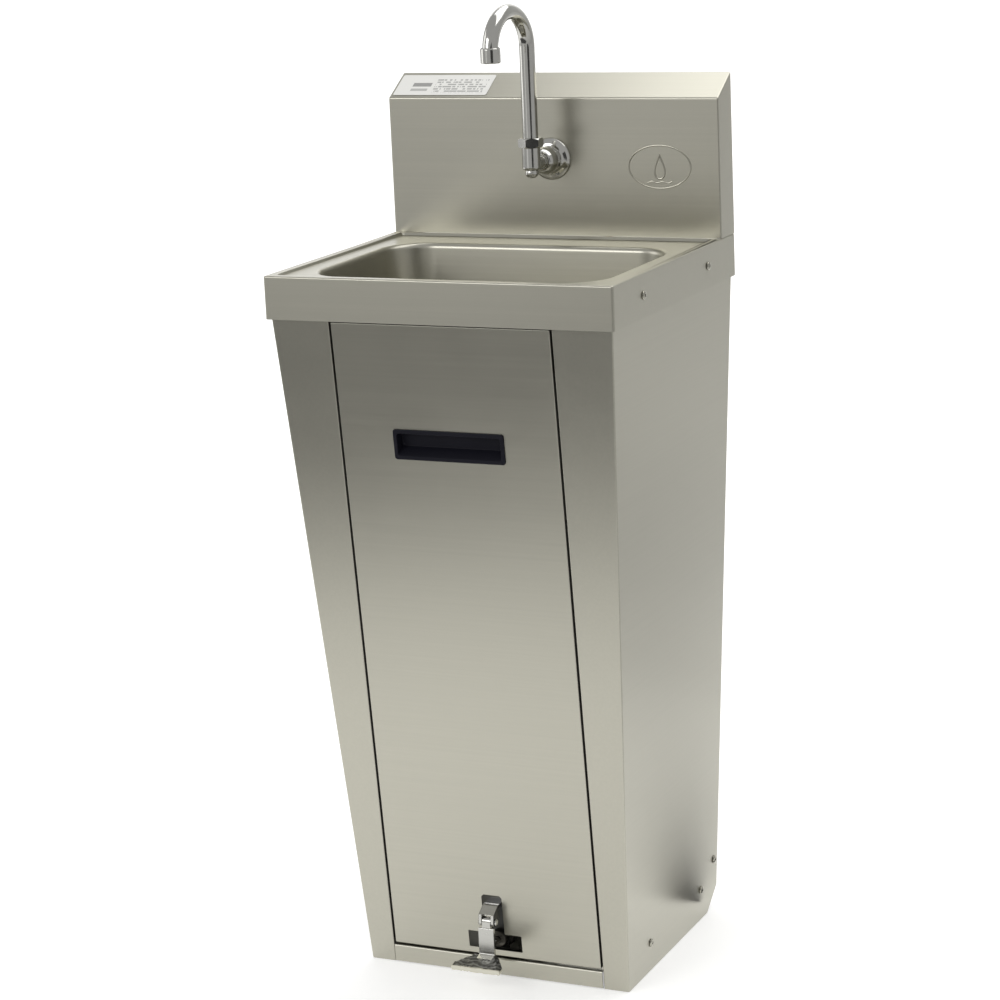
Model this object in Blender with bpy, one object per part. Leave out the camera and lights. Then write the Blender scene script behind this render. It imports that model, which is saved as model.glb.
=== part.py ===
"""Pedestal hand sink: a stainless bowl and backsplash on a tapering cabinet, with a swivelling
gooseneck faucet, a foot pedal on a spring-loaded valve, a P-trap and a front panel that tips out.

Metres, +Z up. The front faces -Y. The origin is on the floor, under the middle of the sink top.
"""

import math

import bmesh
import bpy
from mathutils import Matrix, Vector

# Sink top
HALF_WIDTH = 0.219
HALF_DEPTH = 0.197
RIM_Z = 0.873
APRON_Z = 0.822
SHEET = 0.0012
GAP = 0.0003
BOWL_HALF_X = 0.182
BOWL_FRONT_Y = -0.162
BOWL_BACK_Y = 0.091
BOWL_FLOOR_Z = 0.7465
DRAIN_Y = -0.035

# Backsplash
SPLASH_Y = 0.1505
SPLASH_FRONT_Z = 1.042
SPLASH_BACK_Z = 1.069

# Cabinet: the sides lean in and the front leans back towards the floor
SIDE_X_TOP = 0.2145
SIDE_X_BOTTOM = 0.1725
FRONT_Y_TOP = -0.1906
FRONT_Y_BOTTOM = -0.109
CABINET_BACK_Y = 0.1935
CABINET_TOP_Z = 0.862
LEAN = (SIDE_X_TOP - SIDE_X_BOTTOM) / APRON_Z
RAKE = (FRONT_Y_BOTTOM - FRONT_Y_TOP) / APRON_Z
RAKE_ANGLE = math.atan(RAKE)
PAN_Z = 0.022

# Access panel
PANEL_HALF_X = 0.138
PANEL_BOTTOM_Z = 0.0256
PANEL_TOP_Z = 0.8205
PANEL_DEPTH = 0.014
PULL_HALF_X = 0.0705
PULL_LOW_Z = 0.6585
PULL_HIGH_Z = 0.695

# Pedal and foot valve
PIVOT = Vector((0, -0.132, 0.078))
PLUNGER_Z = 0.045
VALVE_FRONT_Y = -0.0932

# Faucet
FAUCET_Z = 0.968
RISER_Y = 0.090
SPOUT_RADIUS = 0.0095
NECK_RADIUS = 0.0445
NECK_Z = 1.1095
SPOUT_TURN = math.radians(5)

# Supply and waste pipes
SUPPLY_X = 0.060
SUPPLY_Y = 0.181
TRAP_Z = 0.560
TRAP_RADIUS = 0.038
TRAP_BACK_Y = DRAIN_Y + 2 * TRAP_RADIUS
WASTE_RADIUS = 0.019

X_AXIS = Vector((1, 0, 0))
Y_AXIS = Vector((0, 1, 0))
Z_AXIS = Vector((0, 0, 1))


def side_x(z):
    """Half width of the cabinet at a height."""
    return SIDE_X_BOTTOM + LEAN * z


def front_y(z):
    """Front plane of the cabinet at a height."""
    return FRONT_Y_BOTTOM - RAKE * z


def material(name, color, roughness, metallic):
    made = bpy.data.materials.new(name)
    made.use_nodes = True
    shader = made.node_tree.nodes["Principled BSDF"]
    shader.inputs["Base Color"].default_value = (*color, 1)
    shader.inputs["Roughness"].default_value = roughness
    shader.inputs["Metallic"].default_value = metallic
    return made


def node(name, bm, finish, matrix=None):
    """One named sub-part from a bmesh."""
    bmesh.ops.recalc_face_normals(bm, faces=bm.faces)
    mesh = bpy.data.meshes.new(name)
    bm.to_mesh(mesh)
    bm.free()
    mesh.materials.append(finish)
    mesh.shade_smooth()
    mesh.set_sharp_from_angle(angle=math.radians(35))
    made = bpy.data.objects.new(name, mesh)
    bpy.context.scene.collection.objects.link(made)
    if matrix is not None:
        made.matrix_world = matrix
    return made


def join_shape(base, bm, operation, matrix=None):
    """Cuts or unites a helper shape with a sub-part."""
    tool = node(f"{base.name}_{operation.lower()}_{len(base.modifiers)}", bm, STEEL, matrix)
    tool.hide_render = True
    tool.display_type = "WIRE"
    step = base.modifiers.new(operation.title(), "BOOLEAN")
    step.operation = operation
    step.object = tool


def cut(base, bm, matrix=None):
    join_shape(base, bm, "DIFFERENCE", matrix)


def unite(base, bm, matrix=None):
    join_shape(base, bm, "UNION", matrix)


def loft(loops, ring=False):
    """Skins loops that have the same number of points. A ring joins its last loop to its first."""
    bm = bmesh.new()
    rows = [[bm.verts.new(point) for point in loop] for loop in loops]
    following = rows[1:] + rows[:1] if ring else rows[1:]
    for low, high in zip(rows, following):
        for i in range(len(low)):
            j = (i + 1) % len(low)
            bm.faces.new((low[i], low[j], high[j], high[i]))
    if not ring:
        bm.faces.new(rows[0])
        bm.faces.new(list(reversed(rows[-1])))
    return bm


def box(low, high):
    x0, y0, z0 = low
    x1, y1, z1 = high
    corners = [(x0, y0), (x1, y0), (x1, y1), (x0, y1)]
    return loft([[(x, y, z) for x, y in corners] for z in (z0, z1)])


def prism_x(outline, x0, x1):
    """An outline of (y, z) points drawn out along X."""
    return loft([[(x, y, z) for y, z in outline] for x in (x0, x1)])


def strip(path, thickness):
    """The outline of a bent strip: its centre line in two dimensions, given a thickness."""
    points = [Vector(point) for point in path]
    left = []
    right = []
    for i, point in enumerate(points):
        before = (point - points[i - 1]).normalized() if i else None
        after = (points[i + 1] - point).normalized() if i + 1 < len(points) else None
        along = ((before or after) + (after or before)).normalized()
        normal = Vector((-along.y, along.x))
        reach = thickness / 2 / normal.dot(Vector((-(after or before).y, (after or before).x)))
        left.append(point + normal * reach)
        right.append(point - normal * reach)
    return [tuple(point) for point in left + right[::-1]]


def circle(radius, z, steps=16, centre=(0, 0)):
    turns = [2 * math.pi * i / steps for i in range(steps)]
    return [(centre[0] + radius * math.cos(a), centre[1] + radius * math.sin(a), z) for a in turns]


def turned(profile, steps=16, ring=False):
    """A turned shape from (radius, height) points, about Z."""
    return loft([circle(radius, z, steps) for radius, z in profile], ring)


def standing(location, axis=Z_AXIS, spin=0.0):
    """A matrix that moves a Z-up shape to a place and points its Z along an axis."""
    turn = Z_AXIS.rotation_difference(Vector(axis)).to_matrix().to_4x4()
    return Matrix.Translation(Vector(location)) @ turn @ Matrix.Rotation(spin, 4, "Z")


def hexagon(across, z0, z1, bore=0.0):
    """A hexagon nut blank. With a bore it's a ring with 18 points round."""
    if not bore:
        return turned([(across / math.sqrt(3), z0), (across / math.sqrt(3), z1)], 6)
    outer = []
    for i in range(18):
        angle = 2 * math.pi * i / 18
        from_flat = (angle + math.pi / 6) % (math.pi / 3) - math.pi / 6
        outer.append((across / 2 / math.cos(from_flat), angle))
    rim = [(r * math.cos(a), r * math.sin(a)) for r, a in outer]
    loops = [[(x, y, z) for x, y in rim] for z in (z0, z1)]
    return loft(loops + [circle(bore, z1, 18), circle(bore, z0, 18)], ring=True)


def rounded_rect(half_x, y0, y1, radius, z, steps=4):
    """A loop of 4 x (steps + 1) points. With a radius of half the width it's a circle."""
    corners = [(half_x, y1, 0), (-half_x, y1, 90), (-half_x, y0, 180), (half_x, y0, 270)]
    loop = []
    for x, y, start in corners:
        centre = (x - math.copysign(radius, x), y - math.copysign(radius, y - (y0 + y1) / 2))
        for i in range(steps + 1):
            angle = math.radians(start + 90 * i / steps)
            loop.append((centre[0] + radius * math.cos(angle), centre[1] + radius * math.sin(angle), z))
    return loop


def bent(corners, radius, steps=4):
    """A polyline whose inner corners are rounded to a radius."""
    points = [Vector(corner) for corner in corners]
    path = [points[0]]
    for before, corner, after in zip(points, points[1:], points[2:]):
        back = (before - corner).normalized()
        ahead = (after - corner).normalized()
        half = back.angle(ahead) / 2
        centre = corner + (back + ahead).normalized() * radius / math.sin(half)
        start = corner + back * radius / math.tan(half) - centre
        end = corner + ahead * radius / math.tan(half) - centre
        axis = start.cross(end)
        for i in range(steps + 1):
            path.append(centre + Matrix.Rotation(start.angle(end) * i / steps, 3, axis) @ start)
    return path + [points[-1]]


def pipe(path, radii, bore=0.0, sides=12):
    """A round bar along a path, or a pipe if it has a bore. The radius may vary from point to point."""
    if not hasattr(radii, "__len__"):
        radii = [radii] * len(path)
    tangents = []
    for i in range(len(path)):
        step = path[min(i + 1, len(path) - 1)] - path[max(i - 1, 0)]
        tangents.append(step.normalized())
    across = tangents[0].orthogonal().normalized()
    outer = []
    inner = []
    for i, (point, tangent) in enumerate(zip(path, tangents)):
        if i:
            across = tangents[i - 1].rotation_difference(tangent) @ across
        other = tangent.cross(across)
        spokes = []
        for k in range(sides):
            angle = 2 * math.pi * k / sides
            spokes.append(across * math.cos(angle) + other * math.sin(angle))
        outer.append([point + spoke * radii[i] for spoke in spokes])
        inner.append([point + spoke * bore for spoke in spokes])
    if not bore:
        return loft(outer)
    return loft(outer + inner[::-1], ring=True)


def drill(radius, low, high, steps=12):
    """A cutter along Z between two heights."""
    return turned([(radius, low), (radius, high)], steps)


# ---- sink top and backsplash ----

SPLASH_SEAT_Y = SPLASH_Y - 0.0005
DECK_Z = RIM_Z - 0.0035
BOWL_EDGE = 0.007
BOWL_CORNER = 0.050
BOWL_DRAFT = 0.010
BOWL_FILLET = 0.024
BOWL_LOW_Z = BOWL_FLOOR_Z + 0.003


def rim_section(inset, z, corner, back=None):
    """A loop of the sink top, so far in from the apron. The splash seat makes some stop short at the back."""
    back_y = HALF_DEPTH - inset if back is None else back
    return (HALF_WIDTH - inset, inset - HALF_DEPTH, back_y, corner, z)


def bowl_section(inset, z):
    """A loop of the bowl's wall. Its corners tighten as it narrows."""
    return (BOWL_HALF_X - inset, BOWL_FRONT_Y + inset, BOWL_BACK_Y - inset, BOWL_CORNER - inset, z)


def drain_section(radius, z):
    return (radius, DRAIN_Y - radius, DRAIN_Y + radius, radius, z)


def top_sections():
    sections = [
        rim_section(0, APRON_Z, 0.003),
        rim_section(0, RIM_Z - 0.002, 0.003),
        rim_section(0.0006, RIM_Z - 0.0006, 0.0028),
        rim_section(0.002, RIM_Z, 0.0025),
        rim_section(0.010, RIM_Z, 0.003, SPLASH_SEAT_Y),
        rim_section(0.014, DECK_Z, 0.004, SPLASH_SEAT_Y - 0.004),
    ]
    for turn in (0, 45, 90):
        angle = math.radians(turn)
        out = BOWL_EDGE * (1 - math.sin(angle))
        sections.append(bowl_section(-out, DECK_Z - BOWL_EDGE * (1 - math.cos(angle))))
    for turn in (0, 30, 60, 90):
        angle = math.radians(turn)
        inset = BOWL_DRAFT + BOWL_FILLET * (1 - math.cos(angle))
        sections.append(bowl_section(inset, BOWL_LOW_Z + BOWL_FILLET * (1 - math.sin(angle))))
    sections.append(drain_section(0.041, BOWL_FLOOR_Z))
    sections.append(drain_section(0.040, BOWL_FLOOR_Z - 0.0021))
    sections.append(drain_section(0.0285, BOWL_FLOOR_Z - 0.0021))
    return sections


def offset_sections(sections, thickness):
    """The same sections moved by the sheet's thickness, away from the side that shows."""
    moved = []
    for i, (half_x, y0, y1, radius, z) in enumerate(sections):
        before = sections[max(i - 1, 0)]
        after = sections[min(i + 1, len(sections) - 1)]
        normals = []
        for a, b in ((before, sections[i]), (sections[i], after)):
            if a != b:
                along = Vector((b[1] - a[1], b[4] - a[4])).normalized()
                normals.append(Vector((along.y, -along.x)))
        mean = sum(normals, Vector((0, 0))).normalized()
        shift = mean * thickness / max(mean.dot(normals[0]), 0.5)
        shrink = shift.x
        moved.append((half_x - shrink, y0 + shrink, y1 - shrink, max(radius - shrink, 0.0005), z + shift.y))
    return moved


def sink_top():
    sections = top_sections()
    loops = [rounded_rect(*section) for section in sections + offset_sections(sections, SHEET)[::-1]]
    made = node("sink_top", loft(loops, ring=True), STEEL)
    cut(made, drill(0.0075, 0.85, 0.90), Matrix.Translation((SUPPLY_X, SUPPLY_Y, 0)))
    for y in APRON_SCREWS_Y:
        for side in (-1, 1):
            place = standing((side * (HALF_WIDTH - 0.006), y, APRON_SCREW_Z), (side, 0, 0))
            cut(made, drill(0.0026, 0, 0.02), place)


def backsplash():
    def shell(inset, back, low):
        slope = (SPLASH_BACK_Z - SPLASH_FRONT_Z) / (HALF_DEPTH - SPLASH_Y)
        front = SPLASH_Y + inset
        drop = inset * math.sqrt(1 + slope * slope)
        outline = [
            (front, low),
            (back, low),
            (back, SPLASH_FRONT_Z + slope * (back - SPLASH_Y) - drop),
            (front, SPLASH_FRONT_Z + slope * inset - drop),
        ]
        reach = HALF_WIDTH - inset
        return prism_x(outline, -reach, reach)

    made = node("backsplash", shell(0, HALF_DEPTH, RIM_Z + GAP), STEEL)
    cut(made, shell(SHEET, HALF_DEPTH - SHEET, RIM_Z - 0.01))
    reach = HALF_WIDTH - 0.018
    cut(made, box((-reach, 0.19, RIM_Z - 0.01), (reach, 0.21, SPLASH_BACK_Z - 0.018)))
    cut(made, drill(0.0108, -0.01, 0.01, 24), standing((0, SPLASH_Y, FAUCET_Z), Y_AXIS))


def rating_label():
    slope = math.atan2(SPLASH_BACK_Z - SPLASH_FRONT_Z, HALF_DEPTH - SPLASH_Y)
    place = Matrix.Translation((0, SPLASH_Y, SPLASH_FRONT_Z)) @ Matrix.Rotation(slope, 4, "X")
    node("label", box((-0.215, 0.005, GAP), (-0.087, 0.047, GAP + 0.0003)), PAPER, place)


APRON_SCREWS_Y = (-0.1075, 0.1016)
APRON_SCREW_Z = 0.848
SCREW_HEAD = [(0.0052, 0.0), (0.0052, 0.0006), (0.0043, 0.0017), (0.0022, 0.0024)]


def screw(name, place, length=0.009):
    shape = [(0.0022, -length), (0.0022, 0.0)] + SCREW_HEAD
    node(name, turned(shape, 8), CHROME, place)


def apron_screws():
    for y, row in zip(APRON_SCREWS_Y, ("front", "rear")):
        for side, hand in ((-1, "left"), (1, "right")):
            place = standing((side * (HALF_WIDTH + GAP), y, APRON_SCREW_Z), (side, 0, 0))
            screw(f"apron_screw_{row}_{hand}", place, 0.011)


# ---- cabinet ----

RETURN_X = 0.140
RETURN_DEPTH = 0.018
REAR_FLANGE = 0.025
PAN_SCREWS = ((-0.040, 0.037), (0.134, 0.041))
BRACE_SCREW_Y = 0.180
BRACE_SCREW_Z = 0.066


def side_normal(side):
    return Vector((side, 0, -LEAN)).normalized()


def side_screw_place(side, y, z, out=0.0):
    return standing(Vector((side * side_x(z), y, z)) + side_normal(side) * out, side_normal(side))


def side_section(side, z):
    """The folded side sheet cut level: rear flange, side, front flange and its return."""
    x = side_x(z)
    y = front_y(z)
    back = CABINET_BACK_Y
    outline = [
        (x - REAR_FLANGE, back),
        (x, back),
        (x, y),
        (RETURN_X, y),
        (RETURN_X, y + RETURN_DEPTH),
        (RETURN_X + SHEET, y + RETURN_DEPTH),
        (RETURN_X + SHEET, y + SHEET),
        (x - SHEET, y + SHEET),
        (x - SHEET, back - SHEET),
        (x - REAR_FLANGE, back - SHEET),
    ]
    return [(side * px, py, z) for px, py in outline]


def side_panel(side, hand):
    bm = loft([side_section(side, 0), side_section(side, CABINET_TOP_Z)])
    made = node(f"side_panel_{hand}", bm, STEEL)
    chamfer = [(0.1604, -0.01), (0.2, -0.01), (0.2, 0.0346), (0.1604, 0.0)]
    cut(made, prism_x(chamfer, side * 0.12, side * 0.23))
    inner = side_x(0) - SHEET / 2
    foot = box((min(side * inner, side * (inner - 0.016)), -0.1045, 0),
               (max(side * inner, side * (inner - 0.016)), 0.155, SHEET))
    unite(made, foot)
    for y, z in (*PAN_SCREWS, (BRACE_SCREW_Y, BRACE_SCREW_Z)):
        cut(made, drill(0.0026, -0.006, 0.006), side_screw_place(side, y, z))
    for y in APRON_SCREWS_Y:
        place = standing((side * (HALF_WIDTH - 0.012), y, APRON_SCREW_Z), (side, 0, 0))
        cut(made, drill(0.0026, 0, 0.02), place)


def base_pan():
    """A tray between the side panels, with its side edges turned up."""
    clear = SHEET + 0.0006
    low = PAN_Z - SHEET
    high = 0.053
    inner = 0.0012 / math.cos(math.atan(LEAN))
    outline = [
        (side_x(low) - clear, low),
        (side_x(high) - clear, high),
        (side_x(high) - clear - inner, high),
        (side_x(PAN_Z) - clear - inner, PAN_Z),
    ]
    outline += [(-x, z) for x, z in reversed(outline)]
    made = node("base_pan", loft([[(x, y, z) for x, z in outline] for y in (-0.091, 0.1645)]), STEEL)
    for side in (-1, 1):
        for y, z in PAN_SCREWS:
            cut(made, drill(0.0026, -0.008, 0.006), side_screw_place(side, y, z))


def toe_strip():
    """The strip under the access panel, folded back to meet the pan."""
    low = 0.0012
    top = PAN_Z
    outline = [
        (front_y(low), low),
        (front_y(top), top),
        (-0.0915, top),
        (-0.0915, top - SHEET),
        (front_y(top - SHEET) + SHEET, top - SHEET),
        (front_y(low) + SHEET, low),
    ]
    node("toe_strip", prism_x(outline, -0.1392, 0.1392), STEEL)


def brace_section(z, back, reach):
    x = side_x(z) - SHEET - 0.0005
    outline = [
        (x, back - reach),
        (x, back),
        (-x, back),
        (-x, back - reach),
        (SHEET - x, back - reach),
        (SHEET - x, back - SHEET),
        (x - SHEET, back - SHEET),
        (x - SHEET, back - reach),
    ]
    return [(px, py, z) for px, py in outline]


def rear_braces():
    back = CABINET_BACK_Y - SHEET - 0.0004
    for name, z0, z1 in (("rear_brace_lower", 0.046, 0.088), ("rear_brace_upper", 0.766, 0.812)):
        made = node(name, loft([brace_section(z, back, 0.026) for z in (z0, z1)]), STEEL)
        if name.endswith("lower"):
            for side in (-1, 1):
                cut(made, drill(0.0026, -0.008, 0.006),
                    side_screw_place(side, BRACE_SCREW_Y, BRACE_SCREW_Z))


def cabinet_screws():
    rows = (("pan_screw_front", *PAN_SCREWS[0]), ("pan_screw_rear", *PAN_SCREWS[1]),
            ("brace_screw", BRACE_SCREW_Y, BRACE_SCREW_Z))
    for name, y, z in rows:
        for side, hand in ((-1, "left"), (1, "right")):
            screw(f"{name}_{hand}", side_screw_place(side, y, z, GAP))


# ---- access panel, in its own frame: x across, y into the cabinet, z up its face ----

PANEL_HINGE = Vector((0, front_y(PANEL_BOTTOM_Z), PANEL_BOTTOM_Z))
PANEL_PLACE = Matrix.Translation(PANEL_HINGE) @ Matrix.Rotation(RAKE_ANGLE, 4, "X")


def up_face(z):
    """A height turned into a distance up the panel's face."""
    return (z - PANEL_BOTTOM_Z) / math.cos(RAKE_ANGLE)


def access_panel():
    top = up_face(PANEL_TOP_Z)
    reach = PANEL_HALF_X
    made = node("access_panel", box((-reach, 0, 0), (reach, PANEL_DEPTH, top)), STEEL, PANEL_PLACE)
    cut(made, box((SHEET - reach, SHEET, SHEET), (reach - SHEET, 0.02, top - SHEET)), PANEL_PLACE)
    hole = box((-PULL_HALF_X + 0.004, -0.01, up_face(PULL_LOW_Z + 0.004)),
               (PULL_HALF_X - 0.004, 0.01, up_face(PULL_HIGH_Z - 0.004)))
    cut(made, hole, PANEL_PLACE)
    tee = [(-0.0355, 0.034), (0.0355, 0.034), (0.0355, 0.056), (0.0135, 0.056), (0.0135, 0.104),
           (0.0105, 0.107), (-0.0105, 0.107), (-0.0135, 0.104), (-0.0135, 0.056), (-0.0355, 0.056)]
    slot = loft([[(x, y, up_face(z)) for x, z in tee] for y in (-0.005, 0.005)])
    cut(made, slot, PANEL_PLACE)


def panel_pull():
    """A moulded recess for the fingers, with a lip that laps the panel's face."""
    low = up_face(PULL_LOW_Z)
    high = up_face(PULL_HIGH_Z)
    profile = [
        # inset from the lip's edge, depth into the panel, corner radius
        (0.0065, 0.0130, 0.0020),
        (0.0055, 0.0000, 0.0025),
        (0.0045, -0.0018, 0.0030),
        (0.0010, -0.0018, 0.0030),
        (0.0000, -0.0009, 0.0030),
        (0.0000, -0.0003, 0.0030),
        (0.0043, -0.0003, 0.0025),
        (0.0048, 0.0145, 0.0020),
    ]
    loops = []
    for inset, depth, radius in profile:
        loop = rounded_rect(PULL_HALF_X - inset, low + inset, high - inset, radius, depth, 3)
        loops.append([(x, y, z) for x, z, y in loop])
    node("panel_pull", loft(loops), BLACK, PANEL_PLACE)


def front_rail():
    """The angle behind the top of the panel, between the side panels' returns."""
    bend = up_face(0.834)
    outline = [(0.004, bend), (0.020, bend), (0.020, up_face(0.790)), (0.0188, up_face(0.790)),
               (0.0188, bend - SHEET), (0.004, bend - SHEET)]
    node("front_rail", prism_x(outline, -0.1394, 0.1394), STEEL, PANEL_PLACE)


def panel_clips():
    """Leaf springs on the rail that press on the panel's top return."""
    for side, hand in ((-1, "left"), (1, "right")):
        path = [(0.0181, up_face(0.826)), (0.0181, up_face(0.806)), (0.0149, up_face(0.813)),
                (0.0149, up_face(0.8205)), (0.0170, up_face(0.8250))]
        bm = prism_x(strip(path, 0.0006), side * 0.090 - 0.008, side * 0.090 + 0.008)
        node(f"panel_clip_{hand}", bm, SPRING_STEEL, PANEL_PLACE)


# ---- pedal and foot valve ----

STAND_Y = -0.068


def pedal_bracket():
    """A strap clamped behind the bonnet. It arches out through the slot and ends in two ears."""
    back = VALVE_FRONT_Y - GAP - 0.0018
    corners = [(0, back, 0.031), (0, back, 0.0945), (0, -0.1225, 0.0945), (0, -0.1345, 0.0865)]
    path = [(point.y, point.z) for point in bent(corners, 0.0065, 4)]
    made = node("pedal_bracket", prism_x(strip(path, 0.0034), -0.010, 0.010), CHROME)
    ear = [(-0.1365, 0.0878), (-0.1290, 0.0905), (-0.1200, 0.0935), (-0.1240, 0.0790)]
    for i in range(7):
        angle = math.radians(-20 - 160 * i / 6)
        ear.append((PIVOT.y + 0.0058 * math.cos(angle), PIVOT.z + 0.0058 * math.sin(angle)))
    for side in (-1, 1):
        unite(made, prism_x(ear, side * 0.0062, side * 0.0100))
    cut(made, drill(0.0027, -0.02, 0.02), standing(PIVOT, X_AXIS))
    cut(made, drill(0.0083, -0.01, 0.01, 24), standing((0, back, PLUNGER_Z), Y_AXIS))


def pivot_pin():
    shape = [(0.0024, -0.0108), (0.0024, 0.0103), (0.0042, 0.0103), (0.0042, 0.0112), (0.0030, 0.0122)]
    node("pivot_pin", turned(shape, 16), CHROME, standing(PIVOT, X_AXIS))
    cap = [(0.0026, -0.0103), (0.0042, -0.0103), (0.0042, -0.0114), (0.0026, -0.0119)]
    node("pivot_clip", turned(cap, 16, ring=True), SPRING_STEEL, standing(PIVOT, X_AXIS))


def pedal_lever():
    """The hanging plate, its hinge knuckle and the tongue that carries the pad."""
    plate = [(-0.0030, -0.0072), (-0.0030, -0.0440), (-0.0180, -0.0455), (-0.0180, -0.0425),
             (-0.0072, -0.0400), (-0.0072, -0.0072), (-0.0060, -0.0062)]
    made = node("pedal_lever", prism_x(plate, -0.010, 0.010), CHROME, Matrix.Translation(PIVOT))
    neck = [(-0.0060, -0.0100), (-0.0060, 0.0010), (0.0000, 0.0040), (0.0020, -0.0040),
            (-0.0035, -0.0100)]
    unite(made, prism_x(neck, -0.0054, 0.0054), Matrix.Translation(PIVOT))
    unite(made, turned([(0.0052, -0.0056), (0.0052, 0.0056)], 12), standing(PIVOT, X_AXIS))
    cut(made, drill(0.0026, -0.01, 0.01, 12), standing(PIVOT, X_AXIS))


def pedal_pad():
    """A flat triangular tread with a thick lower edge, wide at the front."""
    def ring(inset, lift):
        outline = [
            (-0.0315 + inset, -0.0420 + inset), (0.0315 - inset, -0.0420 + inset),
            (0.0315 - inset, -0.0385), (0.0130 - inset, -0.0100), (0.0095 - inset, -0.0078 - inset),
            (-0.0095 + inset, -0.0078 - inset), (-0.0130 + inset, -0.0100), (-0.0315 + inset, -0.0385),
        ]
        return [(x, y, -0.0415 + 0.10 * (y + 0.006) + lift) for x, y in outline]

    made = node("pedal_pad", loft([ring(0.0008, -0.0046), ring(0, -0.0036), ring(0, 0.0012), ring(0.0012, 0.0022)]),
                CAST, Matrix.Translation(PIVOT))
    socket = prism_x([(-0.0184, -0.0400), (-0.0055, -0.0370), (-0.0055, -0.0500), (-0.0184, -0.0500)],
                     -0.0103, 0.0103)
    cut(made, socket, Matrix.Translation(PIVOT))


def foot_valve():
    y0 = VALVE_FRONT_Y
    axis = (0, y0, PLUNGER_Z)
    body = [(0.0140, 0.0), (0.0150, 0.001), (0.0150, 0.044), (0.0130, 0.046)]
    made = node("valve_body", turned(body, 20), BRASS, standing(axis, Y_AXIS))
    unite(made, turned([(0.0085, 0.008), (0.0085, 0.0210)]), Matrix.Translation((0, -0.063, PLUNGER_Z)))
    for side in (-1, 1):
        unite(made, turned([(0.0080, 0.010), (0.0080, 0.0260)]), standing((0, -0.063, PLUNGER_Z), (side, 0, 0)))
    cut(made, drill(0.0086, -0.001, 0.0366, 16), standing(axis, Y_AXIS))
    cut(made, drill(0.0050, 0.005, 0.030, 12), Matrix.Translation((0, -0.063, PLUNGER_Z)))

    front = y0 - GAP - 0.0036 - GAP
    bonnet = [(0.0110, front - 0.009), (0.0110, front), (0.0080, front), (0.0080, y0 + 0.009),
              (0.00435, y0 + 0.009), (0.00435, front - 0.010), (0.0100, front - 0.010)]
    shape = turned([(r, y) for r, y in bonnet], 16, ring=True)
    node("valve_bonnet", shape, BRASS, standing((0, 0, PLUNGER_Z), Y_AXIS))

    tip = PIVOT.y - 0.0030 + GAP
    plunger = [(0.0012, tip), (0.0028, tip + 0.0006), (0.0040, tip + 0.0024), (0.0040, y0 + 0.0093),
               (0.0075, y0 + 0.0093), (0.0075, y0 + 0.0120), (0.0030, y0 + 0.0120), (0.0030, y0 + 0.018)]
    node("valve_plunger", turned(plunger, 14), CHROME, standing((0, 0, PLUNGER_Z), Y_AXIS))

    low = y0 + 0.0123 + 0.0006
    high = y0 + 0.0366 - GAP - 0.0006
    steps = 48
    coil = []
    for i in range(steps + 1):
        angle = 2 * math.pi * i / 12
        along = low + (high - low) * i / steps
        coil.append(Vector((0.0062 * math.cos(angle), along, PLUNGER_Z + 0.0062 * math.sin(angle))))
    node("plunger_spring", pipe(coil, 0.0006, sides=5), SPRING_STEEL)


def valve_stand():
    """A saddle under the valve, spot-welded to the pan."""
    saddle = [(-0.034, PAN_Z + GAP), (0.034, PAN_Z + GAP), (0.034, PAN_Z + 0.003), (0.016, PAN_Z + 0.003)]
    for i in range(9):
        angle = math.radians(-30 - 120 * i / 8)
        saddle.append((0.0160 * math.cos(angle), PLUNGER_Z + 0.0160 * math.sin(angle)))
    saddle += [(-0.016, PAN_Z + 0.003), (-0.034, PAN_Z + 0.003)]
    loops = [[(x, y, z) for x, z in saddle] for y in (STAND_Y - 0.012, STAND_Y + 0.012)]
    node("valve_stand", loft(loops), STEEL)


def inlets():
    """Hot and cold unions, one on each side of the valve."""
    shape = [(0.0100, 0.0263), (0.0115, 0.0275), (0.0115, 0.0375), (0.0080, 0.0385), (0.0080, 0.0580),
             (0.0055, 0.0580), (0.0055, 0.0263)]
    for side, name in ((-1, "hot_inlet"), (1, "cold_inlet")):
        node(name, turned(shape, 16, ring=True), BRASS, standing((0, -0.063, PLUNGER_Z), (side, 0, 0)))


# ---- supply pipe and faucet ----

def supply():
    start = Vector((0, -0.063, PLUNGER_Z + 0.0216))
    end = Vector((0, SUPPLY_Y + 0.004, FAUCET_Z - 0.0230))
    low = 0.145
    high = RIM_Z + 0.045
    corners = [start, (0, start.y, low), (SUPPLY_X, SUPPLY_Y, low), (SUPPLY_X, SUPPLY_Y, high),
               (0, end.y, high), end]
    node("supply_pipe", pipe(bent(corners, 0.018, 4), 0.0048, 0.0036, 8), COPPER)
    nut = hexagon(0.019, 0.0, 0.011, 0.0052)
    node("outlet_nut", nut, BRASS, Matrix.Translation(start + Vector((0, 0, 0.0004))))
    top_nut = hexagon(0.019, -0.0105, 0.0, 0.0052)
    node("supply_nut", top_nut, BRASS, Matrix.Translation(end + Vector((0, 0, -0.0004))))

    elbow_y = end.y
    elbow = [(0.0085, FAUCET_Z - 0.0226), (0.0085, FAUCET_Z + 0.008), (0.0070, FAUCET_Z + 0.0095)]
    made = node("supply_elbow", turned(elbow, 14), BRASS, Matrix.Translation((0, elbow_y, 0)))
    unite(made, turned([(0.0128, 0.1665), (0.0128, 0.1880)], 18), standing((0, 0, FAUCET_Z), Y_AXIS))
    cut(made, drill(0.0106, 0.160, 0.1805, 18), standing((0, 0, FAUCET_Z), Y_AXIS))
    cut(made, drill(0.0040, FAUCET_Z - 0.03, FAUCET_Z, 10), Matrix.Translation((0, elbow_y, 0)))


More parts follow.
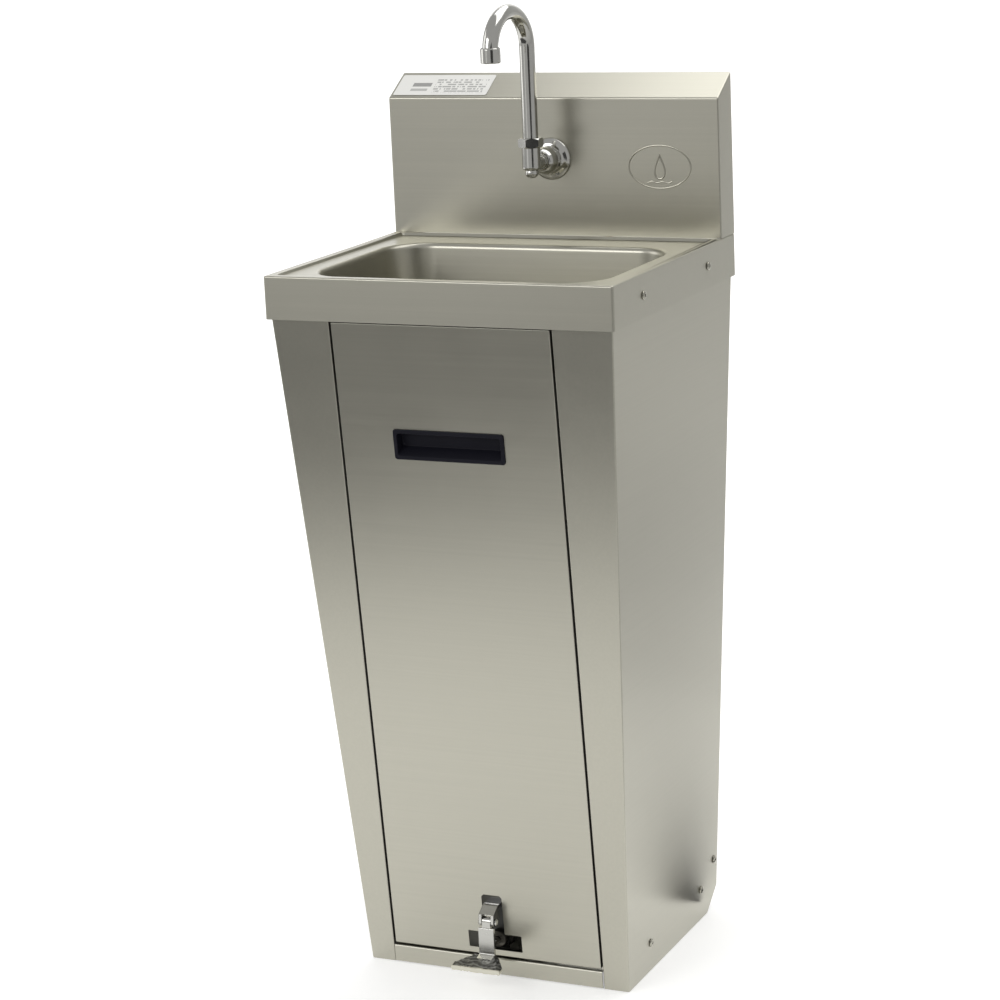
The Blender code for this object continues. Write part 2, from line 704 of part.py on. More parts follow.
def faucet():
    """From the wall out: locknut, washer, shank, flange, coupling nut, elbow and swivel nut."""
    at_axis = standing((0, 0, FAUCET_Z), Y_AXIS)
    behind = SPLASH_Y + SHEET
    shank = [(0.0103, 0.1210), (0.0103, 0.1800), (0.0070, 0.1800), (0.0070, 0.1210)]
    node("faucet_shank", turned(shank, 18, ring=True), BRASS, at_axis)
    washer = [(0.0107, behind + GAP), (0.0165, behind + GAP), (0.0165, behind + 0.0018),
              (0.0107, behind + 0.0018)]
    node("shank_washer", turned(washer, 18, ring=True), RUBBER, at_axis)
    node("shank_locknut", hexagon(0.030, behind + 0.0021, behind + 0.0095, 0.0107), BRASS, at_axis)
    face = SPLASH_Y - GAP
    flange = [(0.0107, face), (0.0260, face), (0.0262, face - 0.0020), (0.0235, face - 0.0052),
              (0.0180, face - 0.0078), (0.0107, face - 0.0085)]
    node("faucet_flange", turned(flange, 28, ring=True), CHROME, at_axis)
    nut_back = face - 0.0085 - GAP
    nut = [(0.0107, nut_back), (0.0160, nut_back), (0.0168, nut_back - 0.003), (0.0168, nut_back - 0.013),
           (0.0150, nut_back - 0.0175), (0.0107, nut_back - 0.0175)]
    node("coupling_nut", turned(nut, 24, ring=True), CHROME, at_axis)

    body = [(0.0030, 0.9500), (0.0055, 0.9506), (0.0065, 0.9530), (0.0098, 0.9548), (0.0113, 0.9590),
            (0.0113, 0.9887)]
    made = node("faucet_elbow", turned(body, 20), CHROME, Matrix.Translation((0, RISER_Y, 0)))
    arm = [(0.0090, RISER_Y), (0.0090, 0.1170), (0.0100, 0.1180), (0.0100, 0.1207)]
    unite(made, turned(arm, 18), at_axis)
    cut(made, drill(0.0080, 0.9728, 1.0, 18), Matrix.Translation((0, RISER_Y, 0)))
    nut = hexagon(0.0270, 0.9890, 1.0005, 0.0098)
    node("swivel_nut", nut, CHROME, Matrix.Translation((0, RISER_Y, 0)))


def spout():
    """Swivels about the riser. At rest it's turned a little towards -X."""
    place = Matrix.Translation((0, RISER_Y, 0)) @ Matrix.Rotation(-SPOUT_TURN, 4, "Z")
    path = [Vector((0, 0, z)) for z in (0.9735, 0.9886, 0.9893, 1.03)]
    radii = [0.0077, 0.0077, SPOUT_RADIUS, SPOUT_RADIUS]
    for i in range(13):
        angle = math.pi * i / 12
        path.append(Vector((0, NECK_RADIUS * (math.cos(angle) - 1), NECK_Z + NECK_RADIUS * math.sin(angle))))
        radii.append(SPOUT_RADIUS)
    path.append(Vector((0, -2 * NECK_RADIUS, NECK_Z - 0.0060)))
    radii.append(SPOUT_RADIUS)
    node("spout", pipe(path, radii, 0.0062, 14), CHROME, place)

    tip = place @ Matrix.Translation((0, -2 * NECK_RADIUS, 0))
    shell = [(0.0112, 1.0980), (0.0120, 1.0990), (0.0120, 1.1145), (0.0112, 1.1160), (0.0107, 1.1160),
             (0.0107, 1.0980)]
    node("aerator_shell", turned(shell, 20, ring=True), CHROME, tip)
    insert = [(0.0100, 1.0986), (0.0100, 1.1028), (0.0070, 1.1028), (0.0070, 1.1005), (0.0030, 1.1000),
              (0.0030, 1.0986)]
    node("aerator_screen", turned(insert, 16, ring=True), BLACK, tip)


# ---- waste ----

def drain():
    at = Matrix.Translation((0, DRAIN_Y, 0))
    floor = BOWL_FLOOR_Z - 0.0021
    body = [(0.0375, floor + GAP), (0.0375, floor + 0.0014), (0.0345, floor + 0.0027),
            (0.0265, floor + 0.0010), (0.0242, floor - 0.0024), (0.0242, 0.7200), (0.0196, 0.7200),
            (0.0196, 0.6900), (0.0225, 0.6900), (0.0225, 0.7090), (0.0280, 0.7120), (0.0280, floor + GAP)]
    node("drain_body", turned(body, 24, ring=True), STEEL, at)
    under = floor - SHEET - GAP
    gasket = [(0.0284, under - 0.0028), (0.0375, under - 0.0028), (0.0375, under), (0.0284, under)]
    node("drain_gasket", turned(gasket, 20, ring=True), RUBBER, at)
    node("drain_locknut", hexagon(0.070, under - 0.0125, under - 0.0031, 0.0290), BRASS, at)

    basket = [(0.0222, 0.7218), (0.0222, 0.7395), (0.0236, 0.7395), (0.0236, 0.7204)]
    made = node("strainer_basket", turned(basket, 24), STEEL, at)
    knob = [(0.0018, 0.7210), (0.0018, 0.7330), (0.0042, 0.7345), (0.0042, 0.7375), (0.0025, 0.7390)]
    unite(made, turned(knob, 10), at)
    for i in range(6):
        angle = math.pi * i / 3
        spot = (0.0120 * math.cos(angle), DRAIN_Y + 0.0120 * math.sin(angle), 0)
        cut(made, drill(0.0032, 0.715, 0.725, 8), Matrix.Translation(spot))


def slip_nut(name, centre, z0, z1, upper_bore, lower_bore):
    """A ring nut that closes from the pipe above to the pipe below."""
    mid = z0 + 0.0025
    shape = [(lower_bore, z0), (0.0270, z0), (0.0285, z0 + 0.002), (0.0285, z1 - 0.002), (0.0270, z1),
             (upper_bore, z1), (upper_bore, mid), (lower_bore, mid)]
    node(name, turned(shape, 18, ring=True), CHROME, Matrix.Translation((*centre, 0)))


def trap():
    at = (0, DRAIN_Y)
    tail_top = 0.6897
    tail_low = 0.6110
    flange = [(0.0222, tail_top), (0.0222, tail_top - 0.0024), (WASTE_RADIUS, tail_top - 0.0026),
              (WASTE_RADIUS, tail_low), (0.0176, tail_low), (0.0176, tail_top)]
    node("tailpiece", turned(flange, 18, ring=True), CHROME, Matrix.Translation((*at, 0)))
    slip_nut("tailpiece_nut", at, 0.6840, 0.7040, 0.0229, 0.0194)
    slip_nut("trap_inlet_nut", at, 0.5985, 0.6235, 0.0194, 0.0194)

    bend = [Vector((0, DRAIN_Y, tail_low - GAP)), Vector((0, DRAIN_Y, TRAP_Z + 0.02))]
    for i in range(10):
        angle = math.pi * i / 9
        y = DRAIN_Y + TRAP_RADIUS * (1 - math.cos(angle))
        bend.append(Vector((0, y, TRAP_Z - TRAP_RADIUS * math.sin(angle))))
    bend.append(Vector((0, TRAP_BACK_Y, 0.6000)))
    node("trap_bend", pipe(bend, WASTE_RADIUS, 0.0176, 14), CHROME)
    slip_nut("trap_outlet_nut", (0, TRAP_BACK_Y), 0.5885, 0.6125, 0.0194, 0.0194)

    corners = [(0, TRAP_BACK_Y, 0.6003), (0, TRAP_BACK_Y, 0.664), (0, 0.188, 0.664)]
    node("trap_arm", pipe(bent(corners, 0.036, 5), WASTE_RADIUS, 0.0176, 14), CHROME)


for leftover in list(bpy.data.objects):
    bpy.data.objects.remove(leftover, do_unlink=True)

STEEL = material("satin_stainless", (0.50, 0.49, 0.45), 0.32, 1.0)
CHROME = material("chrome", (0.80, 0.80, 0.80), 0.08, 1.0)
BRASS = material("plated_brass", (0.70, 0.62, 0.42), 0.28, 1.0)
COPPER = material("supply_pipe", (0.72, 0.45, 0.32), 0.30, 1.0)
SPRING_STEEL = material("spring_steel", (0.45, 0.45, 0.46), 0.30, 1.0)
CAST = material("cast_tread", (0.22, 0.22, 0.21), 0.50, 1.0)
BLACK = material("black_plastic", (0.02, 0.02, 0.025), 0.35, 0.0)
RUBBER = material("rubber", (0.04, 0.04, 0.04), 0.80, 0.0)
PAPER = material("label", (0.82, 0.82, 0.78), 0.60, 0.0)

sink_top()
backsplash()
rating_label()
apron_screws()
side_panel(-1, "left")
side_panel(1, "right")
base_pan()
toe_strip()
rear_braces()
cabinet_screws()
access_panel()
panel_pull()
front_rail()
panel_clips()
pedal_bracket()
pivot_pin()
pedal_lever()
pedal_pad()
foot_valve()
valve_stand()
inlets()
supply()
faucet()
spout()
drain()
trap()
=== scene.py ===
"""A pedestal hand sink in satin stainless steel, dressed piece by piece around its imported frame."""
import math

import bmesh
import bpy
from bpy.props import FloatProperty, FloatVectorProperty, IntProperty, PointerProperty
from mathutils import Matrix, Vector


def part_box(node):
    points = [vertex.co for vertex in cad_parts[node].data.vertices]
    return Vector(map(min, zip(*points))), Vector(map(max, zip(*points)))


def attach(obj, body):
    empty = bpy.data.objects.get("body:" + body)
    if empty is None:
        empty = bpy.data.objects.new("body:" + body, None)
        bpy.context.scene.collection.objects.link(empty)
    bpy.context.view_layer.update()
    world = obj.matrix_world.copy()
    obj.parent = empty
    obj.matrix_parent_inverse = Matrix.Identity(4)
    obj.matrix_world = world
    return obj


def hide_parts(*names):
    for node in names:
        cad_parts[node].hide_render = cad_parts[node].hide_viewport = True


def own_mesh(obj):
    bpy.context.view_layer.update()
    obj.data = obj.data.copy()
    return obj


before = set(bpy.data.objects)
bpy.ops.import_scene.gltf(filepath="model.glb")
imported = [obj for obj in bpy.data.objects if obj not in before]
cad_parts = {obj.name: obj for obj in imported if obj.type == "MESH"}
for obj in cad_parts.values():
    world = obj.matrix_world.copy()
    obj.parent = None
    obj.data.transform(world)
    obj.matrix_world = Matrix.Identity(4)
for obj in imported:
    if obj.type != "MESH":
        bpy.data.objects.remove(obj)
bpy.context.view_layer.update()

bl_info = {
    "name": "Pedestal hand sink",
    "version": (1, 0, 0),
    "blender": (4, 5, 0),
    "location": "3D View > Sidebar > Hand Sink",
    "description": "Builds the visible surfaces of a foot-operated pedestal hand sink",
    "category": "Add Mesh",
}

X_AXIS = Vector((1, 0, 0))
Y_AXIS = Vector((0, 1, 0))
Z_AXIS = Vector((0, 0, 1))
HAIR = 0.0001
GAP = 0.0003


# ---- places, from the frame where a node's box gives them ----

def low(node):
    return Vector(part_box(node)[0])


def high(node):
    return Vector(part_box(node)[1])


def middle(node):
    return (low(node) + high(node)) / 2


TOP_LOW = low("sink_top")
TOP_HIGH = high("sink_top")
RIM_Z = TOP_HIGH.z
APRON_Z = 0.822
SPLASH_Y = low("backsplash").y
SPLASH_FRONT_Z = 1.042
SPLASH_BACK_Z = high("backsplash").z
SEAT_Y = SPLASH_Y - 0.0005
LABEL_DEPTH = 0.042
EMBLEM_CENTRE = Vector((0.142, SPLASH_Y - 0.00005, 0.959))
EMBLEM_RELIEF = 0.8
REAR_RETURN = 0.018
BOWL_HALF_X = 0.182
BOWL_FRONT_Y = -0.162
BOWL_BACK_Y = 0.091
BOWL_FLOOR_Z = 0.7465
BOWL_LOW_Z = BOWL_FLOOR_Z + 0.003
DRAIN_Y = middle("drain_body").y

SIDE_X_BOTTOM = 0.1725
FRONT_Y_BOTTOM = -0.109
CABINET_BACK_Y = high("side_panel_left").y
CABINET_TOP_Z = high("side_panel_left").z
LEAN = 0.042 / 0.822
RAKE = 0.0816 / 0.822
RETURN_X = 0.140
PAN_Z = 0.022
SIDE_SCREWS = (("pan_screw_front", -0.040, 0.037), ("pan_screw_rear", 0.134, 0.041),
               ("brace_screw", 0.180, 0.066))
SCREW_HOLE = 0.0026

PANEL_HALF_X = high("access_panel").x
PANEL_BOTTOM_Z = 0.0256
PANEL_TOP_Z = 0.8205
PANEL_DEPTH = 0.014
PULL_HALF_X = high("panel_pull").x
PULL_LOW_Z = 0.6585
PULL_HIGH_Z = 0.695
WELL_DEPTH = 0.0120
WELL_RISE = 0.0075

PIVOT = Vector((0, -0.132, 0.078))
PIN_HOLE = 0.0026
TREAD_SLOPE = 0.10
TREAD_BACK = Vector((0, -0.006, -0.0415))
TREAD_PLANE = PIVOT.z + TREAD_BACK.z - TREAD_SLOPE * (PIVOT.y + TREAD_BACK.y)
PLUNGER_Z = 0.045
VALVE_FRONT_Y = -0.0932
VALVE_Y = -0.063

FAUCET_Z = 0.968
RISER_Y = 0.090
SPOUT_RADIUS = 0.0095
SPOUT_BORE = 0.0068
NECK_RADIUS = 0.0445
NECK_Z = 1.1095
SPOUT_TURN = math.radians(5)
SUPPLY_X = 0.060
SUPPLY_Y = 0.181
TRAP_Z = 0.560
TRAP_RADIUS = 0.038
WASTE_RADIUS = 0.019
WASTE_WALL = 0.0014
SLIP_BORE = 0.0194

CAMERA_PLACE = Vector((1.41679, -3.09679, 1.38756))
CAMERA_TURNS = (24.8915, -13.4493, -2.5450)
CAMERA_LENS = 103.987
ROOM_GLOW = 0.5
FLOOR_GLOW = 0.45
# Each light's name, place, target, size and power.
LIGHTS = (
    ("overhead", (0.58, 0.70, 2.6), (0.5, 0.5, 0), (2.4, 1.5), 21),
    ("front_box", (-1.7, -3.5, 2.55), (0, 0, 0.8), (2.2, 1.6), 35),
    ("front_low", (-1.85, -4.2, 0.45), (0, 0, 0.9), (1.3, 1.1), 1.4),
    ("left_box", (-3.0, -0.4, 1.6), (0, 0, 0.5), (1.6, 2.0), 12),
    ("sweep_wash", (-1.5, 2.6, 3.4), (-1.5, 4.5, 0.6), (5, 1.5), 50),
)
# Each dark card's name, place, facing, size and turn in degrees.
FLAGS = (
    ("front_flag", (-1.055, -2.11, 0.02), (0, 0, 1), (4.0, 1.9), 26.6),
    ("side_flag_near", (0.36, 0.50, 0.02), (0, 0, 1), (0.05, 0.8), 23.5),
    ("side_flag_middle", (0.61, 1.08, 0.02), (0, 0, 1), (0.11, 0.45), 23.5),
    ("side_flag_far", (0.92, 1.75, 0.02), (0, 0, 1), (0.20, 1.0), 23.5),
    ("room_flag", (2.7, -3.5, 1.2), (-0.55, 0.83, 0), (2.0, 2.4), 0),
)


def side_x(z):
    """Half width of the cabinet at a height."""
    return SIDE_X_BOTTOM + LEAN * z


def front_y(z):
    """Front plane of the cabinet at a height."""
    return FRONT_Y_BOTTOM - RAKE * z


PANEL_PLACE = (Matrix.Translation((0, front_y(PANEL_BOTTOM_Z), PANEL_BOTTOM_Z))
               @ Matrix.Rotation(math.atan(RAKE), 4, "X"))


def up_face(z):
    """A height turned into a distance up the front panel's face."""
    return (z - PANEL_BOTTOM_Z) / math.cos(math.atan(RAKE))


# ---- sizes and colours that a user would change ----

class SinkSizes(bpy.types.PropertyGroup):
    sheet: FloatProperty(name="Sheet", description="Thickness of the steel sheet",
                         default=0.0012, unit="LENGTH")
    fold: FloatProperty(name="Fold radius", description="Outer radius of a folded edge",
                        default=0.0018, unit="LENGTH")
    rim_edge: FloatProperty(name="Rim edge", description="Radius where the apron turns into the rim",
                            default=0.002, unit="LENGTH")
    rim_width: FloatProperty(name="Rim width", description="Raised border round the deck",
                             default=0.010, unit="LENGTH")
    rim_step: FloatProperty(name="Rim step", description="How far the deck lies under the rim",
                            default=0.0035, unit="LENGTH")
    bowl_edge: FloatProperty(name="Bowl edge", description="Radius where the deck rolls into the bowl",
                             default=0.007, unit="LENGTH")
    bowl_corner: FloatProperty(name="Bowl corner", description="Radius of the bowl's upright corners",
                               default=0.050, unit="LENGTH")
    bowl_draft: FloatProperty(name="Bowl draft", description="How far the walls lean in",
                              default=0.010, unit="LENGTH")
    bowl_fillet: FloatProperty(name="Bowl fillet", description="Radius where wall meets floor",
                               default=0.024, unit="LENGTH")
    round_steps: IntProperty(name="Round steps", description="Faces round a turned piece",
                             default=64, min=16)


class SinkFinishes(bpy.types.PropertyGroup):
    steel: FloatVectorProperty(name="Steel", description="Satin stainless sheet", subtype="COLOR",
                               default=(0.480, 0.467, 0.400))
    chrome: FloatVectorProperty(name="Chrome", description="Polished plating", subtype="COLOR",
                                default=(0.550, 0.545, 0.515))
    brass: FloatVectorProperty(name="Brass", description="Rough cast brass", subtype="COLOR",
                               default=(0.560, 0.430, 0.220))
    copper: FloatVectorProperty(name="Copper", description="Drawn copper tube", subtype="COLOR",
                                default=(0.640, 0.330, 0.200))
    tread: FloatVectorProperty(name="Tread", description="Dark cast foot tread", subtype="COLOR",
                               default=(0.120, 0.120, 0.115))
    plastic: FloatVectorProperty(name="Plastic", description="Moulded black plastic", subtype="COLOR",
                                 default=(0.009, 0.009, 0.014))
    rubber: FloatVectorProperty(name="Rubber", description="Washers and gaskets", subtype="COLOR",
                                default=(0.015, 0.015, 0.015))
    label: FloatVectorProperty(name="Label", description="Printed film", subtype="COLOR",
                               default=(0.800, 0.795, 0.760))


FINISHES = {}


# ---- shader arithmetic ----

class Wire:
    """A socket that later steps of a material read. Arithmetic on it adds Math nodes."""

    def __init__(self, paint, socket):
        self.paint = paint
        self.socket = socket

    def math(self, operation, *others):
        values = {i: other for i, other in enumerate((self, *others))}
        return self.paint.add("ShaderNodeMath", {"operation": operation}, values)

    def __add__(self, other):
        return self.math("ADD", other)

    def __sub__(self, other):
        return self.math("SUBTRACT", other)

    def __mul__(self, other):
        return self.math("MULTIPLY", other)

    def __truediv__(self, other):
        return self.math("DIVIDE", other)

    def __radd__(self, other):
        return self + other

    def __rmul__(self, other):
        return self * other

    def __gt__(self, other):
        return self.math("GREATER_THAN", other)

    def __lt__(self, other):
        return self.math("LESS_THAN", other)

    def smooth(self, start, end):
        """0 before start, 1 after end, and smooth between them."""
        inputs = {"Value": self, "From Min": start, "From Max": end}
        return self.paint.add("ShaderNodeMapRange", {"interpolation_type": "SMOOTHSTEP"}, inputs)


class Paint:
    """One node material with a Principled shader."""

    def __init__(self, name):
        self.material = bpy.data.materials.new(name)
        self.material.use_nodes = True
        self.tree = self.material.node_tree
        self.shader = self.tree.nodes["Principled BSDF"]
        self.place = self.add("ShaderNodeTexCoord", {}, {}, "Object")

    def add(self, kind, settings, inputs, output=0):
        """A node whose settings are made first, and then its inputs set or linked."""
        made = self.tree.nodes.new(kind)
        for key, value in settings.items():
            setattr(made, key, value)
        self.feed(made, inputs)
        return Wire(self, made.outputs[output])

    def feed(self, made, inputs):
        for key, value in inputs.items():
            if isinstance(value, Wire):
                self.tree.links.new(value.socket, made.inputs[key])
            else:
                made.inputs[key].default_value = value

    def set(self, **inputs):
        """The shader's own sockets, with _ for the spaces in their names."""
        self.feed(self.shader, {key.replace("_", " "): value for key, value in inputs.items()})

    def stretched(self, scale):
        """Object coordinates, scaled along each axis."""
        return self.add("ShaderNodeMapping", {}, {"Vector": self.place, "Scale": scale})

    def noise(self, vector, scale=1.0, detail=2.0, roughness=0.5):
        inputs = {"Vector": vector, "Scale": scale, "Detail": detail, "Roughness": roughness}
        return self.add("ShaderNodeTexNoise", {}, inputs)

    def axis(self, index):
        return self.add("ShaderNodeSeparateXYZ", {}, {"Vector": self.place}, index)

    def mix(self, factor, first, second):
        """A colour between two colours."""
        inputs = {0: factor, 6: first, 7: second}
        return self.add("ShaderNodeMix", {"data_type": "RGBA"}, inputs, 2)

    def bump(self, height, distance, strength):
        inputs = {"Height": height, "Distance": distance, "Strength": strength}
        return self.add("ShaderNodeBump", {}, inputs)


def tint(color, factor):
    return (*[min(channel * factor, 1) for channel in color], 1)


def satin_steel(name, grain_scale, inner=None):
    """Brushed sheet: fine lines along the grain, broad faint streaks and handling smudges.
    Where inner gives 1, the sheet is painted dark and made rougher: painted shade inside the cabinet."""
    color = bpy.context.scene.sink_finishes.steel
    paint = Paint(name)
    # painted shade: where the mask gives 1 the base colour falls to a dark tint
    painted_shade = inner(paint) if inner else 0.0
    lines = paint.noise(paint.stretched(grain_scale), 1.0, 3.0, 0.65)
    streaks = paint.noise(paint.stretched([0.22 * part for part in grain_scale]), 1.0, 2.0, 0.5)
    smudges = paint.noise(paint.place, 5.0, 3.0, 0.6)
    shade = 0.45 * streaks + 0.35 * lines + 0.20 * smudges
    bright = paint.mix(shade, tint(color, 0.90), tint(color, 1.08))
    paint.set(
        Base_Color=paint.mix(painted_shade, bright, tint(color, 0.28)) if inner else bright,
        Metallic=1.0,
        Roughness=0.22 + 0.07 * lines + 0.05 * streaks + 0.07 * smudges + 0.22 * painted_shade,
        Normal=paint.bump(0.7 * lines + 0.3 * streaks, 0.00004, 0.6),
    )
    return paint.material


def strap_edges_and_painted_shade(paint):
    """1 on the strap's cut edges, painted darker, and on what lies behind the cabinet's front plane, as
    painted shade.
    """
    edges = paint.axis(0).math("ABSOLUTE") > 0.0096
    return (edges + behind_front(paint)).math("MINIMUM", 1.0)


def behind_front(paint):
    """1 on what lies behind the cabinet's front plane, where the metal is painted in shade."""
    return paint.axis(1) + RAKE * paint.axis(2) > FRONT_Y_BOTTOM + 0.0005


def inside_sides(paint):
    """1 on what lies inside the cabinet's leaning sides, front and back, where the side steel is painted
    in shade.
    """
    across = paint.axis(0).math("ABSOLUTE") - LEAN * paint.axis(2) < SIDE_X_BOTTOM - 0.0005
    return across * behind_front(paint) * (paint.axis(1) < CABINET_BACK_Y - 0.0005)


def polished_metal(name, color, rough, dents=0.000006, inner=None):
    """Plating with faint water marks and hand polish. Where inner gives 1 it is painted dark and made
    rougher: painted shade, and the strap's darker cut edges.
    """
    paint = Paint(name)
    # painted shade: where the mask gives 1 the plating falls to a dark tint
    darkened = inner(paint) if inner else 0.0
    marks = paint.noise(paint.place, 90.0, 4.0, 0.6)
    swirls = paint.noise(paint.place, 700.0, 2.0, 0.5)
    plated = paint.mix(marks, tint(color, 0.94), tint(color, 1.04))
    paint.set(
        Base_Color=paint.mix(darkened, plated, tint(color, 0.15)) if inner else plated,
        Metallic=1.0,
        Roughness=rough + 0.05 * marks.smooth(0.45, 0.75) + 0.02 * swirls + 0.25 * darkened,
        Normal=paint.bump(marks, dents, 0.5),
    )
    return paint.material


def cast_metal(name, color, rough, grit):
    """Rough casting: grit, darker hollows and rubbed high spots."""
    paint = Paint(name)
    grains = paint.noise(paint.place, 900.0, 3.0, 0.6)
    lumps = paint.noise(paint.place, 160.0, 3.0, 0.6)
    worn = lumps.smooth(0.50, 0.72)
    paint.set(
        Base_Color=paint.mix(worn, tint(color, 0.75), tint(color, 1.45)),
        Metallic=1.0,
        Roughness=rough + 0.12 * grains - 0.12 * worn,
        Normal=paint.bump(0.6 * grains + 0.4 * lumps, grit, 0.7),
    )
    return paint.material


def cast_tread(name, color):
    """The foot tread: dark swirls cast in its top, and a brighter edge below the top's plane."""
    paint = Paint(name)
    rise = paint.axis(2) - TREAD_SLOPE * paint.axis(1)
    top = rise.smooth(TREAD_PLANE - 0.0001, TREAD_PLANE + 0.0002)
    top = top * (paint.axis(1) > low("pedal_pad").y + 0.0015)
    waves = {"Vector": paint.place, "Scale": 42.0, "Distortion": 9.0, "Detail": 2.0, "Detail Scale": 1.5}
    swirl = paint.add("ShaderNodeTexWave", {"wave_type": "RINGS"}, waves, 1).smooth(0.45, 0.95)
    grains = paint.noise(paint.place, 900.0, 3.0, 0.6)
    face = paint.mix(0.7 * swirl + 0.3 * grains, tint(color, 0.6), tint(color, 2.6))
    paint.set(
        Base_Color=paint.mix(top, tint(bpy.context.scene.sink_finishes.steel, 1.35), face),
        Metallic=1.0,
        Roughness=0.30 + 0.10 * grains + 0.06 * top,
        Normal=paint.bump(0.5 * grains + 0.5 * swirl, 0.00015, 0.6),
    )
    return paint.material


def moulded(name, color, rough, grain, shine=0.5):
    """Plastic or rubber with a spark-eroded grain."""
    paint = Paint(name)
    pits = paint.noise(paint.place, 1800.0, 2.0, 0.6)
    wear = paint.noise(paint.place, 25.0, 4.0, 0.6)
    paint.set(
        Base_Color=paint.mix(wear, tint(color, 0.8), tint(color, 1.3)),
        Roughness=rough + 0.10 * pits + 0.08 * wear,
        Normal=paint.bump(pits, grain, 0.6),
        Specular_IOR_Level=shine,
    )
    return paint.material


def printed_film(name):
    """White film with grey bars of uneven length in rows, and two plain grey blocks at its left."""
    color = bpy.context.scene.sink_finishes.label
    corner = low("label")
    size = high("label") - corner
    paint = Paint(name)
    across = (paint.axis(0) - corner.x) / size.x
    up = (paint.axis(1) - corner.y) / size.y
    rows = up * 9.0
    in_row = (rows.math("FLOORED_MODULO", 1.0) > 0.42) * (up > 0.10) * (up < 0.80)
    line_of = {"X": across * 34.0, "Y": rows.math("FLOOR") * 3.7}
    words = paint.noise(paint.add("ShaderNodeCombineXYZ", {}, line_of), 1.0, 1.0, 0.5) > 0.47
    body = in_row * words * (across > 0.40) * (across < 0.95)
    heading = (up > 0.42) * (up < 0.60) * (across > 0.16) * (across < 0.36)
    block_under = (up > 0.20) * (up < 0.32) * (across > 0.16) * (across < 0.34)
    ink = (0.75 * body + 0.9 * heading + 0.6 * block_under).math("MINIMUM", 1.0)
    fibres = paint.noise(paint.place, 600.0, 2.0, 0.5)
    paint.set(
        Base_Color=paint.mix(ink, tint(color, 1.0), (0.25, 0.25, 0.24, 1)),
        Roughness=0.38 + 0.1 * fibres + 0.1 * ink,
        Normal=paint.bump(fibres, 0.00001, 0.4),
        Coat_Weight=0.15,
    )
    return paint.material


def floor_paint(name):
    """Pale studio floor, faintly mottled, with a pool of light under and behind the sink."""
    paint = Paint(name)
    mottle = paint.noise(paint.place, 3.0, 4.0, 0.5)
    pool = paint.axis(0).smooth(0.85, 0.50) * paint.axis(1).smooth(-1.5, -0.9)
    paint.set(Base_Color=paint.mix(mottle, (0.82, 0.82, 0.81, 1), (0.85, 0.85, 0.84, 1)),
              Roughness=0.65 + 0.1 * mottle,
              Emission_Color=paint.mix(pool, (0, 0, 0, 1), (1, 1, 1, 1)),
              Emission_Strength=FLOOR_GLOW)
    return paint.material


def flag_cloth(name):
    """Dark cloth of the flags that shade the metal from outside the view."""
    paint = Paint(name)
    weave = paint.noise(paint.place, 60.0, 2.0, 0.5)
    paint.set(Base_Color=paint.mix(weave, (0.05, 0.05, 0.05, 1), (0.08, 0.08, 0.08, 1)),
              Roughness=0.9)
    return paint.material


def make_finishes():
    """All the object's materials. Grain lines run along X, or along Y on the cabinet's sides. Painted
    shade darkens the side, panel and inner steels and the strap where they lie inside the cabinet.
    """
    colors = bpy.context.scene.sink_finishes
    FINISHES["steel"] = satin_steel("satin_steel", (9, 1400, 1400))
    # painted shade on the sides and the front panel where they lie inside the cabinet
    FINISHES["side_steel"] = satin_steel("satin_steel_side", (1400, 9, 1400), inside_sides)
    FINISHES["panel_steel"] = satin_steel("satin_steel_panel", (9, 1400, 1400), behind_front)
    # the same satin sheet, painted dark as painted shade behind the cabinet's front plane
    FINISHES["steel_in_painted_shade"] = satin_steel("steel_in_painted_shade", (9, 1400, 1400), behind_front)
    FINISHES["chrome"] = polished_metal("chrome_plate", colors.chrome, 0.09)
    FINISHES["satin_chrome"] = polished_metal("satin_chrome", colors.chrome, 0.22)
    FINISHES["strap"] = polished_metal("strap_chrome", colors.chrome, 0.22, inner=strap_edges_and_painted_shade)
    FINISHES["bronze"] = cast_metal("valve_bronze", (0.085, 0.080, 0.068), 0.45, 0.00004)
    FINISHES["dull_chrome"] = polished_metal("waste_chrome", tint(colors.chrome, 0.85)[:3], 0.16)
    FINISHES["screw"] = polished_metal("screw_steel", tint(colors.steel, 0.9)[:3], 0.22)
    FINISHES["spring"] = polished_metal("spring_wire", tint(colors.steel, 0.8)[:3], 0.25)
    FINISHES["copper"] = polished_metal("copper_tube", colors.copper, 0.24, 0.00001)
    FINISHES["brass"] = cast_metal("cast_brass", colors.brass, 0.34, 0.00004)
    FINISHES["tread"] = cast_tread("cast_tread", colors.tread)
    FINISHES["plastic"] = moulded("black_plastic", colors.plastic, 0.34, 0.00002, 0.12)
    FINISHES["rubber"] = moulded("rubber", colors.rubber, 0.62, 0.00003)
    FINISHES["label"] = printed_film("label_film")
    FINISHES["flag"] = flag_cloth("flag_cloth")


# ---- modelling by hand, in code ----

def fresh():
    """Object mode with nothing selected."""
    if bpy.context.mode != "OBJECT":
        bpy.ops.object.mode_set(mode="OBJECT")
    bpy.ops.object.select_all(action="DESELECT")


def hold(piece):
    """Selects one piece and makes it active."""
    fresh()
    piece.select_set(True)
    bpy.context.view_layer.objects.active = piece


def edit(piece):
    """Edit mode on one piece."""
    hold(piece)
    bpy.ops.object.mode_set(mode="EDIT")


def leave_edit():
    bpy.ops.object.mode_set(mode="OBJECT")


